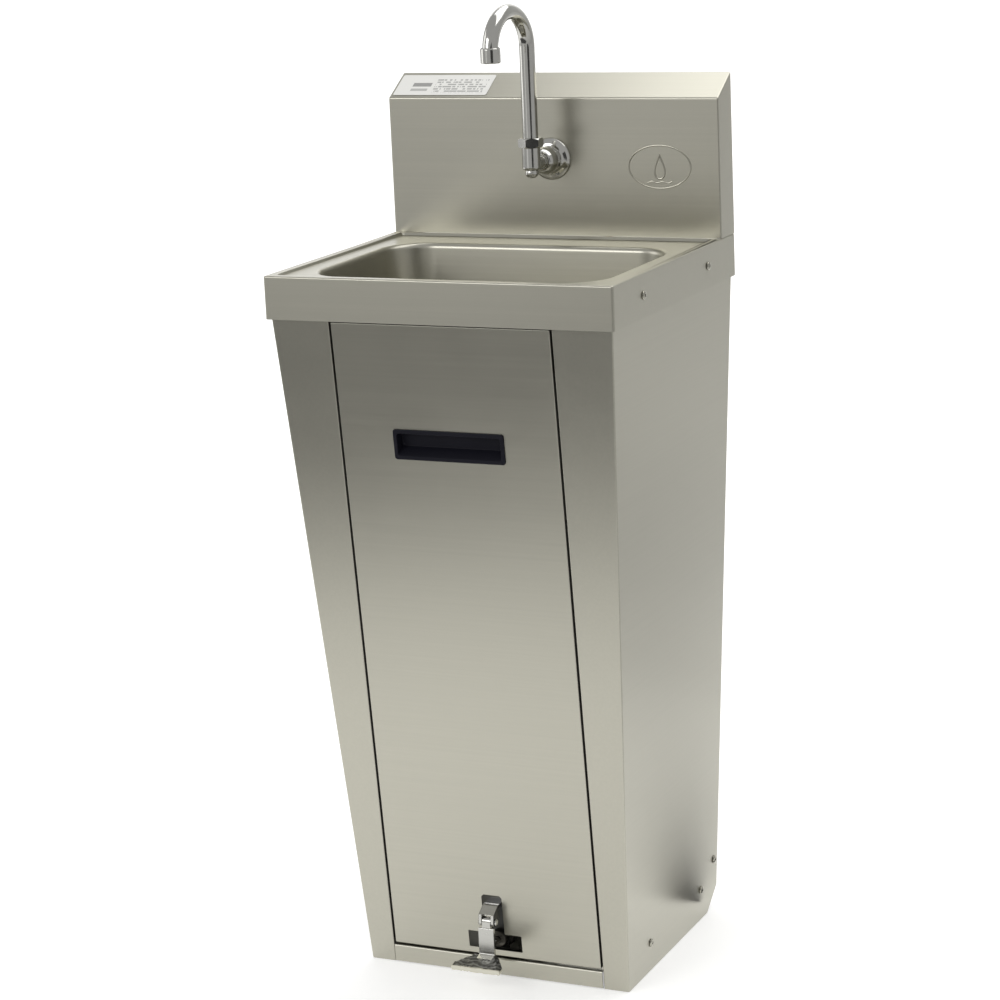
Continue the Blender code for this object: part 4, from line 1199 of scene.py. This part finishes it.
class SINK_OT_panel_pull(Maker, bpy.types.Operator):
    """Moulds the recessed pull: a rounded lip, a finger well and a closed back"""
    bl_idname = "sink.panel_pull"
    bl_label = "Panel Pull"

    def execute(self, context):
        low_z, high_z = up_face(PULL_LOW_Z), up_face(PULL_HIGH_Z)
        width, height = 2 * PULL_HALF_X, high_z - low_z
        piece = start_face(width, height, 0.0035, 8)
        draw_out((0, 0, 0.0006))
        for thickness, rise in ((0.0002, 0.0004), (0.0003, 0.0003), (0.0005, 0.0002)):
            bpy.ops.mesh.inset(thickness=thickness, depth=rise)
        lip_z = 0.0015
        bpy.ops.mesh.delete(type="ONLY_FACE")
        round_face((0, 0, lip_z), width - 0.0084, height - 0.0084, 0.0032, 8)
        choose("EDGE", lambda edge: edge.is_boundary and edge_middle(edge).z > lip_z - HAIR)
        bpy.ops.mesh.bridge_edge_loops()
        choose("FACE", lambda face: len(face.verts) > 20 and face.calc_center_median().z > HAIR)
        well = ((0.0004, -0.0002), (0.0003, -0.0005), (0.0004, -0.0080), (0.0003, -0.0038),
                (0.0004, -0.0007), (0.0006, -0.0003))
        for thickness, rise in well:
            bpy.ops.mesh.inset(thickness=thickness, depth=rise)
        levels = (-0.0060, -0.0090, -0.0113, -0.0119, -0.0130)
        for start, end in zip(levels, levels[1:]):
            choose("VERT", lambda vertex: end < vertex.co.z < start and vertex.co.y < 0)
            bpy.ops.transform.translate(value=(0, min(-end / WELL_DEPTH, 1) * WELL_RISE, 0))
        choose("FACE", lambda face: len(face.verts) > 20 and abs(face.calc_center_median().z) < HAIR)
        bpy.ops.mesh.delete(type="ONLY_FACE")
        choose("EDGE", lambda edge: edge.is_boundary)
        for inset, depth in ((0.0043, 0.0), (0.0003, 0.0136), (0.0008, 0.0010)):
            ratio = ((width - 2 * inset) / width, (height - 2 * inset) / height, 1)
            draw_out((0, 0, -depth))
            bpy.ops.transform.resize(value=ratio, center_override=(0, 0, 0))
            width, height = width - 2 * inset, height - 2 * inset
        bpy.ops.mesh.edge_face_add()
        leave_edit()
        stand = moved(0, -0.0003, (low_z + high_z) / 2) @ Matrix.Rotation(math.pi / 2, 4, "X")
        settle(piece, stand)
        settle(piece, PANEL_PLACE)
        ready(piece, "pull_moulding", "panel_pull", "plastic", 40, body="access_panel")
        return {"FINISHED"}


# ---- pedal and foot valve ----

class SINK_OT_pedal_bracket(Maker, bpy.types.Operator):
    """Bends the strap that arches out of the slot, and adds its two pivot ears"""
    bl_idname = "sink.pedal_bracket"
    bl_label = "Pedal Bracket"

    def execute(self, context):
        back = VALVE_FRONT_Y - 0.0021
        corners = [(0, back, 0.031), (0, back, 0.0945), (0, -0.1225, 0.0945), (0, -0.1345, 0.0865)]
        line = [(-0.010, point.y, point.z) for point in bent(corners, 0.0065, 10)]
        piece = folded(line, (0.020, 0, 0), Y_AXIS, 0.0034, 0, offset=0)
        ear = [(-0.1365, 0.0878), (-0.1290, 0.0905), (-0.1200, 0.0935), (-0.1240, 0.0790)]
        ear += arc((PIVOT.y, PIVOT.z), 0.0058, -20, -180, 14)
        for side in (-1, 1):
            carve(piece, prism([(side * 0.0062, y, z) for y, z in ear], (side * 0.0038, 0, 0)), "UNION")
        drill(piece, PIN_HOLE, -0.02, 0.02, towards(PIVOT, X_AXIS), steps=32)
        drill(piece, 0.0083, -0.01, 0.01, towards((0, back, PLUNGER_Z), Y_AXIS))
        soften(piece, 0.0005, 3)
        settle(piece, outward=False)
        ready(piece, "pedal_strap", "pedal_bracket", "strap")
        return {"FINISHED"}


class SINK_OT_pedal(Maker, bpy.types.Operator):
    """Makes the hinge pin, its clip, the hanging lever and the cast tread"""
    bl_idname = "sink.pedal"
    bl_label = "Pedal"

    def execute(self, context):
        at_pin = towards(PIVOT, X_AXIS)
        pin = [(0.0020, -0.0112), (0.0024, -0.0108), (0.0024, 0.0103), (0.0042, 0.0103), (0.0042, 0.0112),
               (0.0030, 0.0122), (0.0010, 0.0122)]
        ready(lathe(eased(pin, 0.0004), at_pin, steps=32), "hinge_pin", "pivot_pin", "chrome")
        clip = [(0.0026, -0.0103), (0.0042, -0.0103), (0.0042, -0.0114), (0.0026, -0.0119)]
        ready(ring(clip, 0.0002, at_pin, 32), "hinge_clip", "pivot_clip", "spring")
        self.lever(at_pin)
        self.tread()
        return {"FINISHED"}

    def lever(self, at_pin):
        at = Matrix.Translation(PIVOT)
        plate = [(-0.0030, -0.0072), (-0.0030, -0.0440), (-0.0180, -0.0455), (-0.0180, -0.0425),
                 (-0.0072, -0.0400), (-0.0072, -0.0072), (-0.0060, -0.0062)]
        line = eased(plate, 0.0014, closed=True)
        piece = prism([(-0.010, y, z) for y, z in line], (0.020, 0, 0), at)
        neck = [(-0.0060, -0.0100), (-0.0060, 0.0010), (0.0000, 0.0040), (0.0020, -0.0040),
                (-0.0035, -0.0100)]
        carve(piece, prism([(-0.0054, y, z) for y, z in neck], (0.0108, 0, 0), at), "UNION")
        drill(piece, 0.0052, -0.0056, 0.0056, at_pin, steps=40, operation="UNION")
        drill(piece, PIN_HOLE, -0.01, 0.01, at_pin, steps=32)
        soften(piece, 0.0005, 3)
        settle(piece, outward=False)
        ready(piece, "hanging_lever", "pedal_lever", "satin_chrome", body="pedal")

    def tread(self):
        """A grid cut to a blunt triangle, cast rough on top, with a thick rounded edge."""
        fresh()
        bpy.ops.mesh.primitive_grid_add(x_subdivisions=126, y_subdivisions=68, size=1)
        piece = bpy.context.active_object
        piece.scale = (0.0622, 0.0342, 1)
        piece.location = (0, -0.0249, 0.0006)
        bpy.ops.object.transform_apply(location=True, rotation=True, scale=True)
        bpy.ops.object.mode_set(mode="EDIT")
        flank = ((0.0312, -0.0385), (0.0130, -0.0100), (0.0093, -0.0078))
        for side in (-1, 1):
            for start, end in zip(flank, flank[1:]):
                bpy.ops.mesh.select_all(action="SELECT")
                along = Vector(end) - Vector(start)
                normal = (side * abs(along.y), abs(along.x), 0)
                bpy.ops.mesh.bisect(plane_co=(side * start[0], start[1], 0), plane_no=normal,
                                    clear_outer=True)
        leave_edit()
        swirl = bpy.data.textures.new("tread_swirl", "WOOD")
        swirl.noise_scale = 0.008
        swirl.turbulence = 14.0
        swirl.wood_type = "BANDNOISE"
        swirl.noise_basis = "BLENDER_ORIGINAL"
        modify(piece, "DISPLACE", texture=swirl, strength=0.0009, mid_level=0.0, direction="Z")
        edit(piece)
        choose("EDGE", lambda edge: edge.is_boundary)
        for inset, drop in ((1.02, 0.0007), (1.0, 0.0042), (0.985, 0.0009)):
            draw_out((0, 0, -drop))
            bpy.ops.transform.resize(value=(inset, inset, 1), center_override=(0, -0.025, 0))
        bpy.ops.mesh.edge_face_add()
        leave_edit()
        tilt = math.atan(TREAD_SLOPE)
        place = Matrix.Translation(PIVOT + TREAD_BACK) @ Matrix.Rotation(tilt, 4, "X")
        settle(piece, place @ moved(0, 0.006, 0))
        tongue = [(-0.0184, -0.0400), (-0.0055, -0.0370), (-0.0055, -0.0500), (-0.0184, -0.0500)]
        tongue = [(-0.0103, y, z) for y, z in tongue]
        carve(piece, prism(tongue, (0.0206, 0, 0), Matrix.Translation(PIVOT)))
        ready(piece, "foot_tread", "pedal_pad", "tread", 45, body="pedal")


class SINK_OT_valve(Maker, bpy.types.Operator):
    """Makes the foot valve: body, bonnet, plunger, stand and the two inlet unions"""
    bl_idname = "sink.valve"
    bl_label = "Foot Valve"

    def execute(self, context):
        at_plunger = towards((0, 0, PLUNGER_Z), Y_AXIS)
        mouth = towards((0, VALVE_FRONT_Y, PLUNGER_Z), Y_AXIS)
        crossing = Vector((0, VALVE_Y, PLUNGER_Z))
        barrel = [(0.0125, 0.0), (0.0140, 0.0), (0.0150, 0.001), (0.0150, 0.044), (0.0130, 0.046),
                  (0.0100, 0.046)]
        body = lathe(eased(barrel, 0.0008), mouth)
        drill(body, 0.0085, 0.008, 0.0210, Matrix.Translation(crossing), operation="UNION")
        for side in (-1, 1):
            drill(body, 0.0080, 0.010, 0.0260, towards(crossing, (side, 0, 0)), operation="UNION")
        drill(body, 0.0086, -0.001, 0.0366, mouth)
        drill(body, 0.0050, 0.005, 0.030, Matrix.Translation(crossing), steps=32)
        soften(body, 0.0006, 3)
        ready(body, "valve_block", "valve_body", "bronze")

        front = VALVE_FRONT_Y - 0.0042
        inside = VALVE_FRONT_Y + 0.009
        bonnet = [(0.0110, front - 0.009), (0.0110, front), (0.0080, front), (0.0080, inside),
                  (0.00435, inside), (0.00435, front - 0.010), (0.0100, front - 0.010)]
        piece = ring(bonnet, 0.0006, at_plunger)
        ready(piece, "bonnet_nut", "valve_bonnet", "bronze")

        tip = PIVOT.y - 0.0027
        land = VALVE_FRONT_Y + 0.0093
        plunger = [(0.0006, tip), (0.0028, tip + 0.0006), (0.0040, tip + 0.0024), (0.0040, land),
                   (0.0075, land), (0.0075, land + 0.0027), (0.0030, land + 0.0027),
                   (0.0030, land + 0.0087), (0.0020, land + 0.0087)]
        piece = lathe(eased(plunger, 0.0004), at_plunger)
        ready(piece, "plunger_rod", "valve_plunger", "dull_chrome", body="plunger")

        foot, top = PAN_Z + GAP, PAN_Z + 0.003
        saddle = [(-0.034, foot), (0.034, foot), (0.034, top), (0.016, top)]
        saddle += arc((0, PLUNGER_Z), 0.0156, -30, -150, 24)
        saddle += [(-0.016, top), (-0.034, top)]
        piece = prism([(x, -0.080, z) for x, z in saddle], (0, 0.024, 0))
        soften(piece, 0.0004)
        ready(piece, "valve_saddle", "valve_stand", "steel_in_painted_shade")

        union = [(0.0100, 0.0263), (0.0115, 0.0275), (0.0115, 0.0375), (0.0080, 0.0385), (0.0080, 0.0580),
                 (0.0055, 0.0580), (0.0055, 0.0263)]
        for side, name in ((-1, "hot_inlet"), (1, "cold_inlet")):
            at = towards(crossing, (side, 0, 0))
            piece = lathe(threaded(union, 3, 0.0008, 0.0004), at, True)
            ready(piece, name + "_union", name, "brass")
        self.spring(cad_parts["plunger_spring"], high("plunger_spring"))
        return {"FINISHED"}

    def spring(self, coil, fixed_end):
        """The frame's own coil shows, on its own copy of the mesh, in the spring wire finish."""
        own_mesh(coil)
        coil.data.materials.clear()
        coil.data.materials.append(FINISHES["spring"])


# ---- supply pipe and faucet ----

class SINK_OT_supply(Maker, bpy.types.Operator):
    """Bends the copper supply pipe and makes its two nuts and the elbow behind the splash"""
    bl_idname = "sink.supply"
    bl_label = "Supply Pipe"

    def execute(self, context):
        start = Vector((0, VALVE_Y, PLUNGER_Z + 0.0216))
        end = Vector((0, SUPPLY_Y + 0.004, FAUCET_Z - 0.0230))
        low_z = 0.145
        high_z = RIM_Z + 0.045
        corners = [start, (0, start.y, low_z), (SUPPLY_X, SUPPLY_Y, low_z), (SUPPLY_X, SUPPLY_Y, high_z),
                   (0, end.y, high_z), end]
        piece = tube(bent(corners, 0.018, 14), 0.0048, 0.0010, 6)
        ready(piece, "riser_tube", "supply_pipe", "copper")
        nuts = (("outlet_nut", start, 0.0004, 0.0114), ("supply_nut", end, -0.0109, -0.0004))
        for name, spot, z0, z1 in nuts:
            piece = hex_nut(0.019, z0, z1, 0.0052, Matrix.Translation(spot))
            ready(piece, name + "_hex", name, "brass")

        at_axis = towards((0, 0, FAUCET_Z), Y_AXIS)
        upright = [(0.0085, FAUCET_Z - 0.0226), (0.0085, FAUCET_Z + 0.008), (0.0070, FAUCET_Z + 0.0095),
                   (0.0040, FAUCET_Z + 0.0095)]
        piece = lathe(eased(upright, 0.0008), moved(0, end.y, 0))
        carve(piece, lathe(eased([(0.0100, 0.1665), (0.0128, 0.1665), (0.0128, 0.1880), (0.0100, 0.1880)],
                                 0.0008), at_axis), "UNION")
        drill(piece, 0.0106, 0.160, 0.1805, at_axis)
        drill(piece, 0.0040, FAUCET_Z - 0.03, FAUCET_Z, moved(0, end.y, 0), steps=32)
        soften(piece, 0.0005, 3)
        ready(piece, "brass_elbow", "supply_elbow", "brass")
        return {"FINISHED"}


class SINK_OT_faucet(Maker, bpy.types.Operator):
    """Turns the wall fittings and the chrome elbow with its swivel nut"""
    bl_idname = "sink.faucet"
    bl_label = "Faucet"

    def execute(self, context):
        at_axis = towards((0, 0, FAUCET_Z), Y_AXIS)
        at_riser = moved(0, RISER_Y, 0)
        behind = SPLASH_Y + context.scene.sink_sizes.sheet
        face = SPLASH_Y - GAP
        shank = [(0.0103, 0.1210), (0.0103, 0.1800), (0.0070, 0.1800), (0.0070, 0.1210)]
        piece = lathe(threaded(shank, 0, 0.0014, 0.0005), at_axis, True)
        ready(piece, "threaded_shank", "faucet_shank", "brass")
        washer = [(0.0107, behind + 0.0003), (0.0165, behind + 0.0003), (0.0165, behind + 0.0018),
                  (0.0107, behind + 0.0018)]
        ready(ring(washer, 0.0003, at_axis), "rubber_washer", "shank_washer", "rubber")
        piece = hex_nut(0.030, behind + 0.0021, behind + 0.0095, 0.0107, at_axis)
        ready(piece, "wall_locknut", "shank_locknut", "brass")
        flange = [(0.0107, face), (0.0260, face), (0.0262, face - 0.0014), (0.0252, face - 0.0034),
                  (0.0228, face - 0.0056), (0.0190, face - 0.0074), (0.0150, face - 0.0083),
                  (0.0107, face - 0.0085)]
        ready(ring(flange, 0.0008, at_axis, 96), "wall_flange", "faucet_flange", "chrome")
        back = face - 0.0088
        nut = [(0.0107, back), (0.0158, back), (0.0168, back - 0.0010), (0.0168, back - 0.0100),
               (0.0162, back - 0.0135), (0.0148, back - 0.0185), (0.0125, back - 0.0225),
               (0.0103, back - 0.0235), (0.0103, back - 0.0200), (0.0107, back - 0.0195)]
        ready(ring(nut, 0.0010, at_axis, 96), "round_coupling", "coupling_nut", "chrome")

        body = [(0.0010, 0.9515), (0.0040, 0.9521), (0.0066, 0.9539), (0.0080, 0.9565), (0.0082, 0.9592),
                (0.0074, 0.9612), (0.0092, 0.9620), (0.0110, 0.9634), (0.0113, 0.9650), (0.0113, 0.9887),
                (0.0090, 0.9887)]
        piece = lathe(eased(body, 0.0006), at_riser, steps=64)
        arm = [(0.0060, RISER_Y), (0.0090, RISER_Y), (0.0090, 0.1150), (0.0094, 0.1165), (0.0100, 0.1180),
               (0.0100, 0.1207), (0.0080, 0.1207)]
        carve(piece, lathe(eased(arm, 0.0006), at_axis, steps=64), "UNION")
        drill(piece, 0.0080, 0.9728, 1.0, at_riser, steps=48)
        soften(piece, 0.0009, 4, 50)
        ready(piece, "elbow_body", "faucet_elbow", "chrome")
        piece = hex_nut(0.0270, 0.9890, 1.0005, 0.0098, at_riser)
        ready(piece, "spout_nut", "swivel_nut", "chrome")
        return {"FINISHED"}


class SINK_OT_spout(Maker, bpy.types.Operator):
    """Bends the gooseneck and turns the aerator at its tip"""
    bl_idname = "sink.spout"
    bl_label = "Spout"

    def execute(self, context):
        place = moved(0, RISER_Y, 0) @ Matrix.Rotation(-SPOUT_TURN, 4, "Z")
        path = [Vector((0, 0, z)) for z in (0.9893, 1.02, 1.06, NECK_Z)]
        for i in range(1, 33):
            angle = math.pi * i / 32
            y, z = NECK_RADIUS * (math.cos(angle) - 1), NECK_Z + NECK_RADIUS * math.sin(angle)
            path.append(Vector((0, y, z)))
        path.append(Vector((0, -2 * NECK_RADIUS, NECK_Z - 0.0060)))
        piece = tube(path, SPOUT_RADIUS, SPOUT_RADIUS - SPOUT_BORE, 14)
        drill(piece, 0.0077, 0.9735, 0.9900, steps=48, operation="UNION")
        drill(piece, 0.0062, 0.9700, 0.9990, steps=48)
        settle(piece, place, outward=False)
        ready(piece, "gooseneck", "spout", "chrome", body="spout")

        tip = place @ moved(0, -2 * NECK_RADIUS, 0)
        shell = [(0.0107, 1.0980), (0.0114, 1.0980), (0.0120, 1.0990), (0.0120, 1.1145), (0.0112, 1.1160),
                 (0.0107, 1.1160)]
        piece = ring(shell, 0.0005, tip, 72)
        for side in (-1, 1):
            low_x, high_x = sorted((side * 0.01165, side * 0.014))
            carve(piece, block((low_x, -0.010, 1.1000), (high_x, 0.010, 1.1075), tip))
        ready(piece, "aerator_cap", "aerator_shell", "chrome", body="spout")
        insert = [(0.0100, 1.0986), (0.0100, 1.1028), (0.0070, 1.1028), (0.0070, 1.1005),
                  (0.0030, 1.1000), (0.0030, 1.0986)]
        piece = ring(insert, 0.0003, tip, 48)
        ready(piece, "aerator_mesh", "aerator_screen", "plastic", body="spout")
        return {"FINISHED"}


# ---- waste ----

class SINK_OT_drain(Maker, bpy.types.Operator):
    """Turns the drain, its gasket, locknut and lift-out strainer"""
    bl_idname = "sink.drain"
    bl_label = "Drain"

    def execute(self, context):
        at = moved(0, DRAIN_Y, 0)
        seat = BOWL_FLOOR_Z - 0.0021
        body = [(0.0375, seat + GAP), (0.0375, seat + 0.0014), (0.0345, seat + 0.0027),
                (0.0265, seat + 0.0010), (0.0242, seat - 0.0024), (0.0242, 0.7200), (0.0196, 0.7200),
                (0.0196, 0.6900), (0.0225, 0.6900), (0.0225, 0.7090), (0.0280, 0.7120),
                (0.0280, seat + GAP)]
        piece = ring(body, 0.0008, at, 72)
        ready(piece, "drain_cup", "drain_body", "dull_chrome")
        under = seat - context.scene.sink_sizes.sheet - GAP
        gasket = [(0.0284, under - 0.0028), (0.0375, under - 0.0028), (0.0375, under), (0.0284, under)]
        ready(ring(gasket, 0.0005, at, 72), "rubber_gasket", "drain_gasket", "rubber")
        piece = hex_nut(0.070, under - 0.0125, under - 0.0031, 0.0290, at, 0.05)
        ready(piece, "drain_ring_nut", "drain_locknut", "brass")

        basket = [(0.0060, 0.7218), (0.0200, 0.7218), (0.0222, 0.7235), (0.0222, 0.7395),
                  (0.0236, 0.7395), (0.0236, 0.7222), (0.0210, 0.7204), (0.0010, 0.7204)]
        piece = lathe(eased(basket, 0.0005)[::-1], at, False, 72)
        knob = [(0.0008, 0.7210), (0.0018, 0.7210), (0.0018, 0.7330), (0.0042, 0.7345), (0.0042, 0.7375),
                (0.0025, 0.7390), (0.0006, 0.7391)]
        carve(piece, lathe(eased(knob, 0.0005), at, steps=32), "UNION")
        for radius, count in ((0.0085, 6), (0.0150, 12)):
            for angle in turns(count):
                spot = at @ moved(radius * math.cos(angle), radius * math.sin(angle), 0)
                drill(piece, 0.0019, 0.715, 0.7225, spot, steps=16)
        ready(piece, "strainer_cup", "strainer_basket", "dull_chrome", body="strainer")
        return {"FINISHED"}


class SINK_OT_trap(Maker, bpy.types.Operator):
    """Bends the P-trap and its wall arm, and makes the tailpiece and slip nuts"""
    bl_idname = "sink.trap"
    bl_label = "P-Trap"

    def execute(self, context):
        at = moved(0, DRAIN_Y, 0)
        top, bottom = high("tailpiece").z, low("tailpiece").z
        inside = WASTE_RADIUS - WASTE_WALL
        tail = [(0.0222, top), (0.0222, top - 0.0024), (WASTE_RADIUS, top - 0.0026),
                (WASTE_RADIUS, bottom), (inside, bottom), (inside, top)]
        ready(ring(tail, 0.0004, at), "tail_tube", "tailpiece", "dull_chrome")
        back_y = DRAIN_Y + 2 * TRAP_RADIUS
        slips = (("tailpiece_nut", DRAIN_Y, 0.6840, 0.7040, 0.0229),
                 ("trap_inlet_nut", DRAIN_Y, 0.5985, 0.6235, SLIP_BORE),
                 ("trap_outlet_nut", back_y, 0.5885, 0.6125, SLIP_BORE))
        for name, y, z0, z1, upper_bore in slips:
            piece = hex_nut(0.0492, z0, z1, upper_bore, moved(0, y, 0), 0.10)
            if upper_bore > SLIP_BORE:
                lip = [(SLIP_BORE, z0), (0.0235, z0), (0.0235, z0 + 0.0025), (SLIP_BORE, z0 + 0.0025)]
                carve(piece, lathe(lip, moved(0, y, 0), True), "UNION")
            ready(piece, name + "_hex", name, "dull_chrome")

        bend = [Vector((0, DRAIN_Y, bottom - GAP)), Vector((0, DRAIN_Y, TRAP_Z + 0.02))]
        for i in range(25):
            angle = math.pi * i / 24
            bend.append(Vector((0, DRAIN_Y + TRAP_RADIUS * (1 - math.cos(angle)),
                                TRAP_Z - TRAP_RADIUS * math.sin(angle))))
        bend.append(Vector((0, back_y, 0.6000)))
        ready(tube(bend, WASTE_RADIUS, WASTE_WALL, 12), "trap_tube", "trap_bend", "dull_chrome")
        corners = [(0, back_y, 0.6003), (0, back_y, 0.664), (0, 0.188, 0.664)]
        piece = tube(bent(corners, 0.036, 16), WASTE_RADIUS, WASTE_WALL, 12)
        ready(piece, "wall_arm", "trap_arm", "dull_chrome")
        return {"FINISHED"}


# ---- floor, lights and camera ----

class SINK_OT_stage(Maker, bpy.types.Operator):
    """Lays the pale floor and its sweep, hangs the soft lights and sets the camera"""
    bl_idname = "sink.stage"
    bl_label = "Stage"

    def execute(self, context):
        self.floor()
        self.flags()
        self.lights(context.scene)
        self.camera(context.scene)
        context.scene.view_settings.view_transform = "Standard"
        return {"FINISHED"}

    def floor(self):
        sweep = plane(14, 9, (0, -1.0, -0.0005))
        bpy.ops.object.mode_set(mode="EDIT")
        choose("EDGE", lambda edge: edge_middle(edge).y > 3)
        for i in range(12):
            angle = math.pi / 2 * (i + 0.5) / 12
            step = (0, 0.26 * math.cos(angle), 0.26 * math.sin(angle))
            draw_out(step)
        draw_out((0, 0, 4))
        leave_edit()
        bpy.ops.object.shade_smooth()
        sweep.name = "studio_floor"
        sweep.data.materials.append(floor_paint("studio_floor"))

    def flags(self):
        """Dark cards that only the shiny metal sees."""
        for name, place, facing, size, turn in FLAGS:
            card = plane(*size)
            stand = towards(place, facing) @ Matrix.Rotation(-math.radians(turn), 4, "Z")
            settle(card, stand, outward=False)
            card.name = name
            card.data.materials.append(FINISHES["flag"])
            card.visible_camera = card.visible_diffuse = card.visible_shadow = False

    def lights(self, scene):
        world = bpy.data.worlds.new("studio")
        world.use_nodes = True
        world.node_tree.nodes["Background"].inputs["Color"].default_value = (1.0, 1.0, 1.0, 1)
        world.node_tree.nodes["Background"].inputs["Strength"].default_value = ROOM_GLOW
        scene.world = world
        for name, place, target, size, power in LIGHTS:
            bpy.ops.object.light_add(type="AREA", location=place)
            lamp = bpy.context.active_object
            lamp.name = name
            lamp.data.shape = "RECTANGLE"
            lamp.data.size, lamp.data.size_y = size
            lamp.data.energy = power
            aim = Vector(target) - Vector(place)
            lamp.rotation_euler = aim.to_track_quat("-Z", "Y").to_euler()

    def camera(self, scene):
        """A long lens to the right of the sink, a little above it and tilted slightly."""
        yaw, pitch, roll = (math.radians(angle) for angle in CAMERA_TURNS)
        level = math.cos(pitch)
        forward = Vector((-math.sin(yaw) * level, math.cos(yaw) * level, math.sin(pitch)))
        right = forward.cross(Z_AXIS).normalized()
        up = right.cross(forward)
        tilted_right = right * math.cos(roll) + up * math.sin(roll)
        tilted_up = up * math.cos(roll) - right * math.sin(roll)
        bpy.ops.object.camera_add(location=CAMERA_PLACE)
        camera = bpy.context.active_object
        turn = Matrix((tilted_right, tilted_up, -forward)).transposed()
        camera.matrix_world = Matrix.Translation(CAMERA_PLACE) @ turn.to_4x4()
        camera.data.lens = CAMERA_LENS
        camera.data.sensor_width = 36
        scene.camera = camera


class SINK_PT_panel(bpy.types.Panel):
    """Lists the pieces in the 3D view's sidebar"""
    bl_label = "Pedestal Hand Sink"
    bl_space_type = "VIEW_3D"
    bl_region_type = "UI"
    bl_category = "Hand Sink"

    def draw(self, context):
        sizes = context.scene.sink_sizes
        for key in sizes.__annotations__:
            self.layout.prop(sizes, key)
        finishes = context.scene.sink_finishes
        for key in finishes.__annotations__:
            self.layout.prop(finishes, key)
        for kind in PIECES:
            self.layout.operator(kind.bl_idname)


PIECES = (SINK_OT_top, SINK_OT_backsplash, SINK_OT_label, SINK_OT_emblem, SINK_OT_screws,
          SINK_OT_side_panels, SINK_OT_inner_sheets, SINK_OT_access_panel, SINK_OT_panel_pull,
          SINK_OT_pedal_bracket, SINK_OT_pedal, SINK_OT_valve, SINK_OT_supply, SINK_OT_faucet,
          SINK_OT_spout, SINK_OT_drain,
          SINK_OT_trap, SINK_OT_stage)
CLASSES = (SinkSizes, SinkFinishes, *PIECES, SINK_PT_panel)


def register():
    for kind in CLASSES:
        bpy.utils.register_class(kind)
    bpy.types.Scene.sink_sizes = PointerProperty(type=SinkSizes)
    bpy.types.Scene.sink_finishes = PointerProperty(type=SinkFinishes)


def unregister():
    del bpy.types.Scene.sink_finishes
    del bpy.types.Scene.sink_sizes
    for kind in reversed(CLASSES):
        bpy.utils.unregister_class(kind)


def clear_startup():
    """Removes the objects that a new file opens with."""
    for name in ("Cube", "Light", "Camera"):
        if name in bpy.data.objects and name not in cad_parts:
            bpy.data.objects.remove(bpy.data.objects[name], do_unlink=True)


def main():
    register()
    clear_startup()
    make_finishes()
    for kind in PIECES:
        group, name = kind.bl_idname.split(".")
        getattr(getattr(bpy.ops, group), name)()
    bpy.context.view_layer.update()


if __name__ == "__main__":
    main()
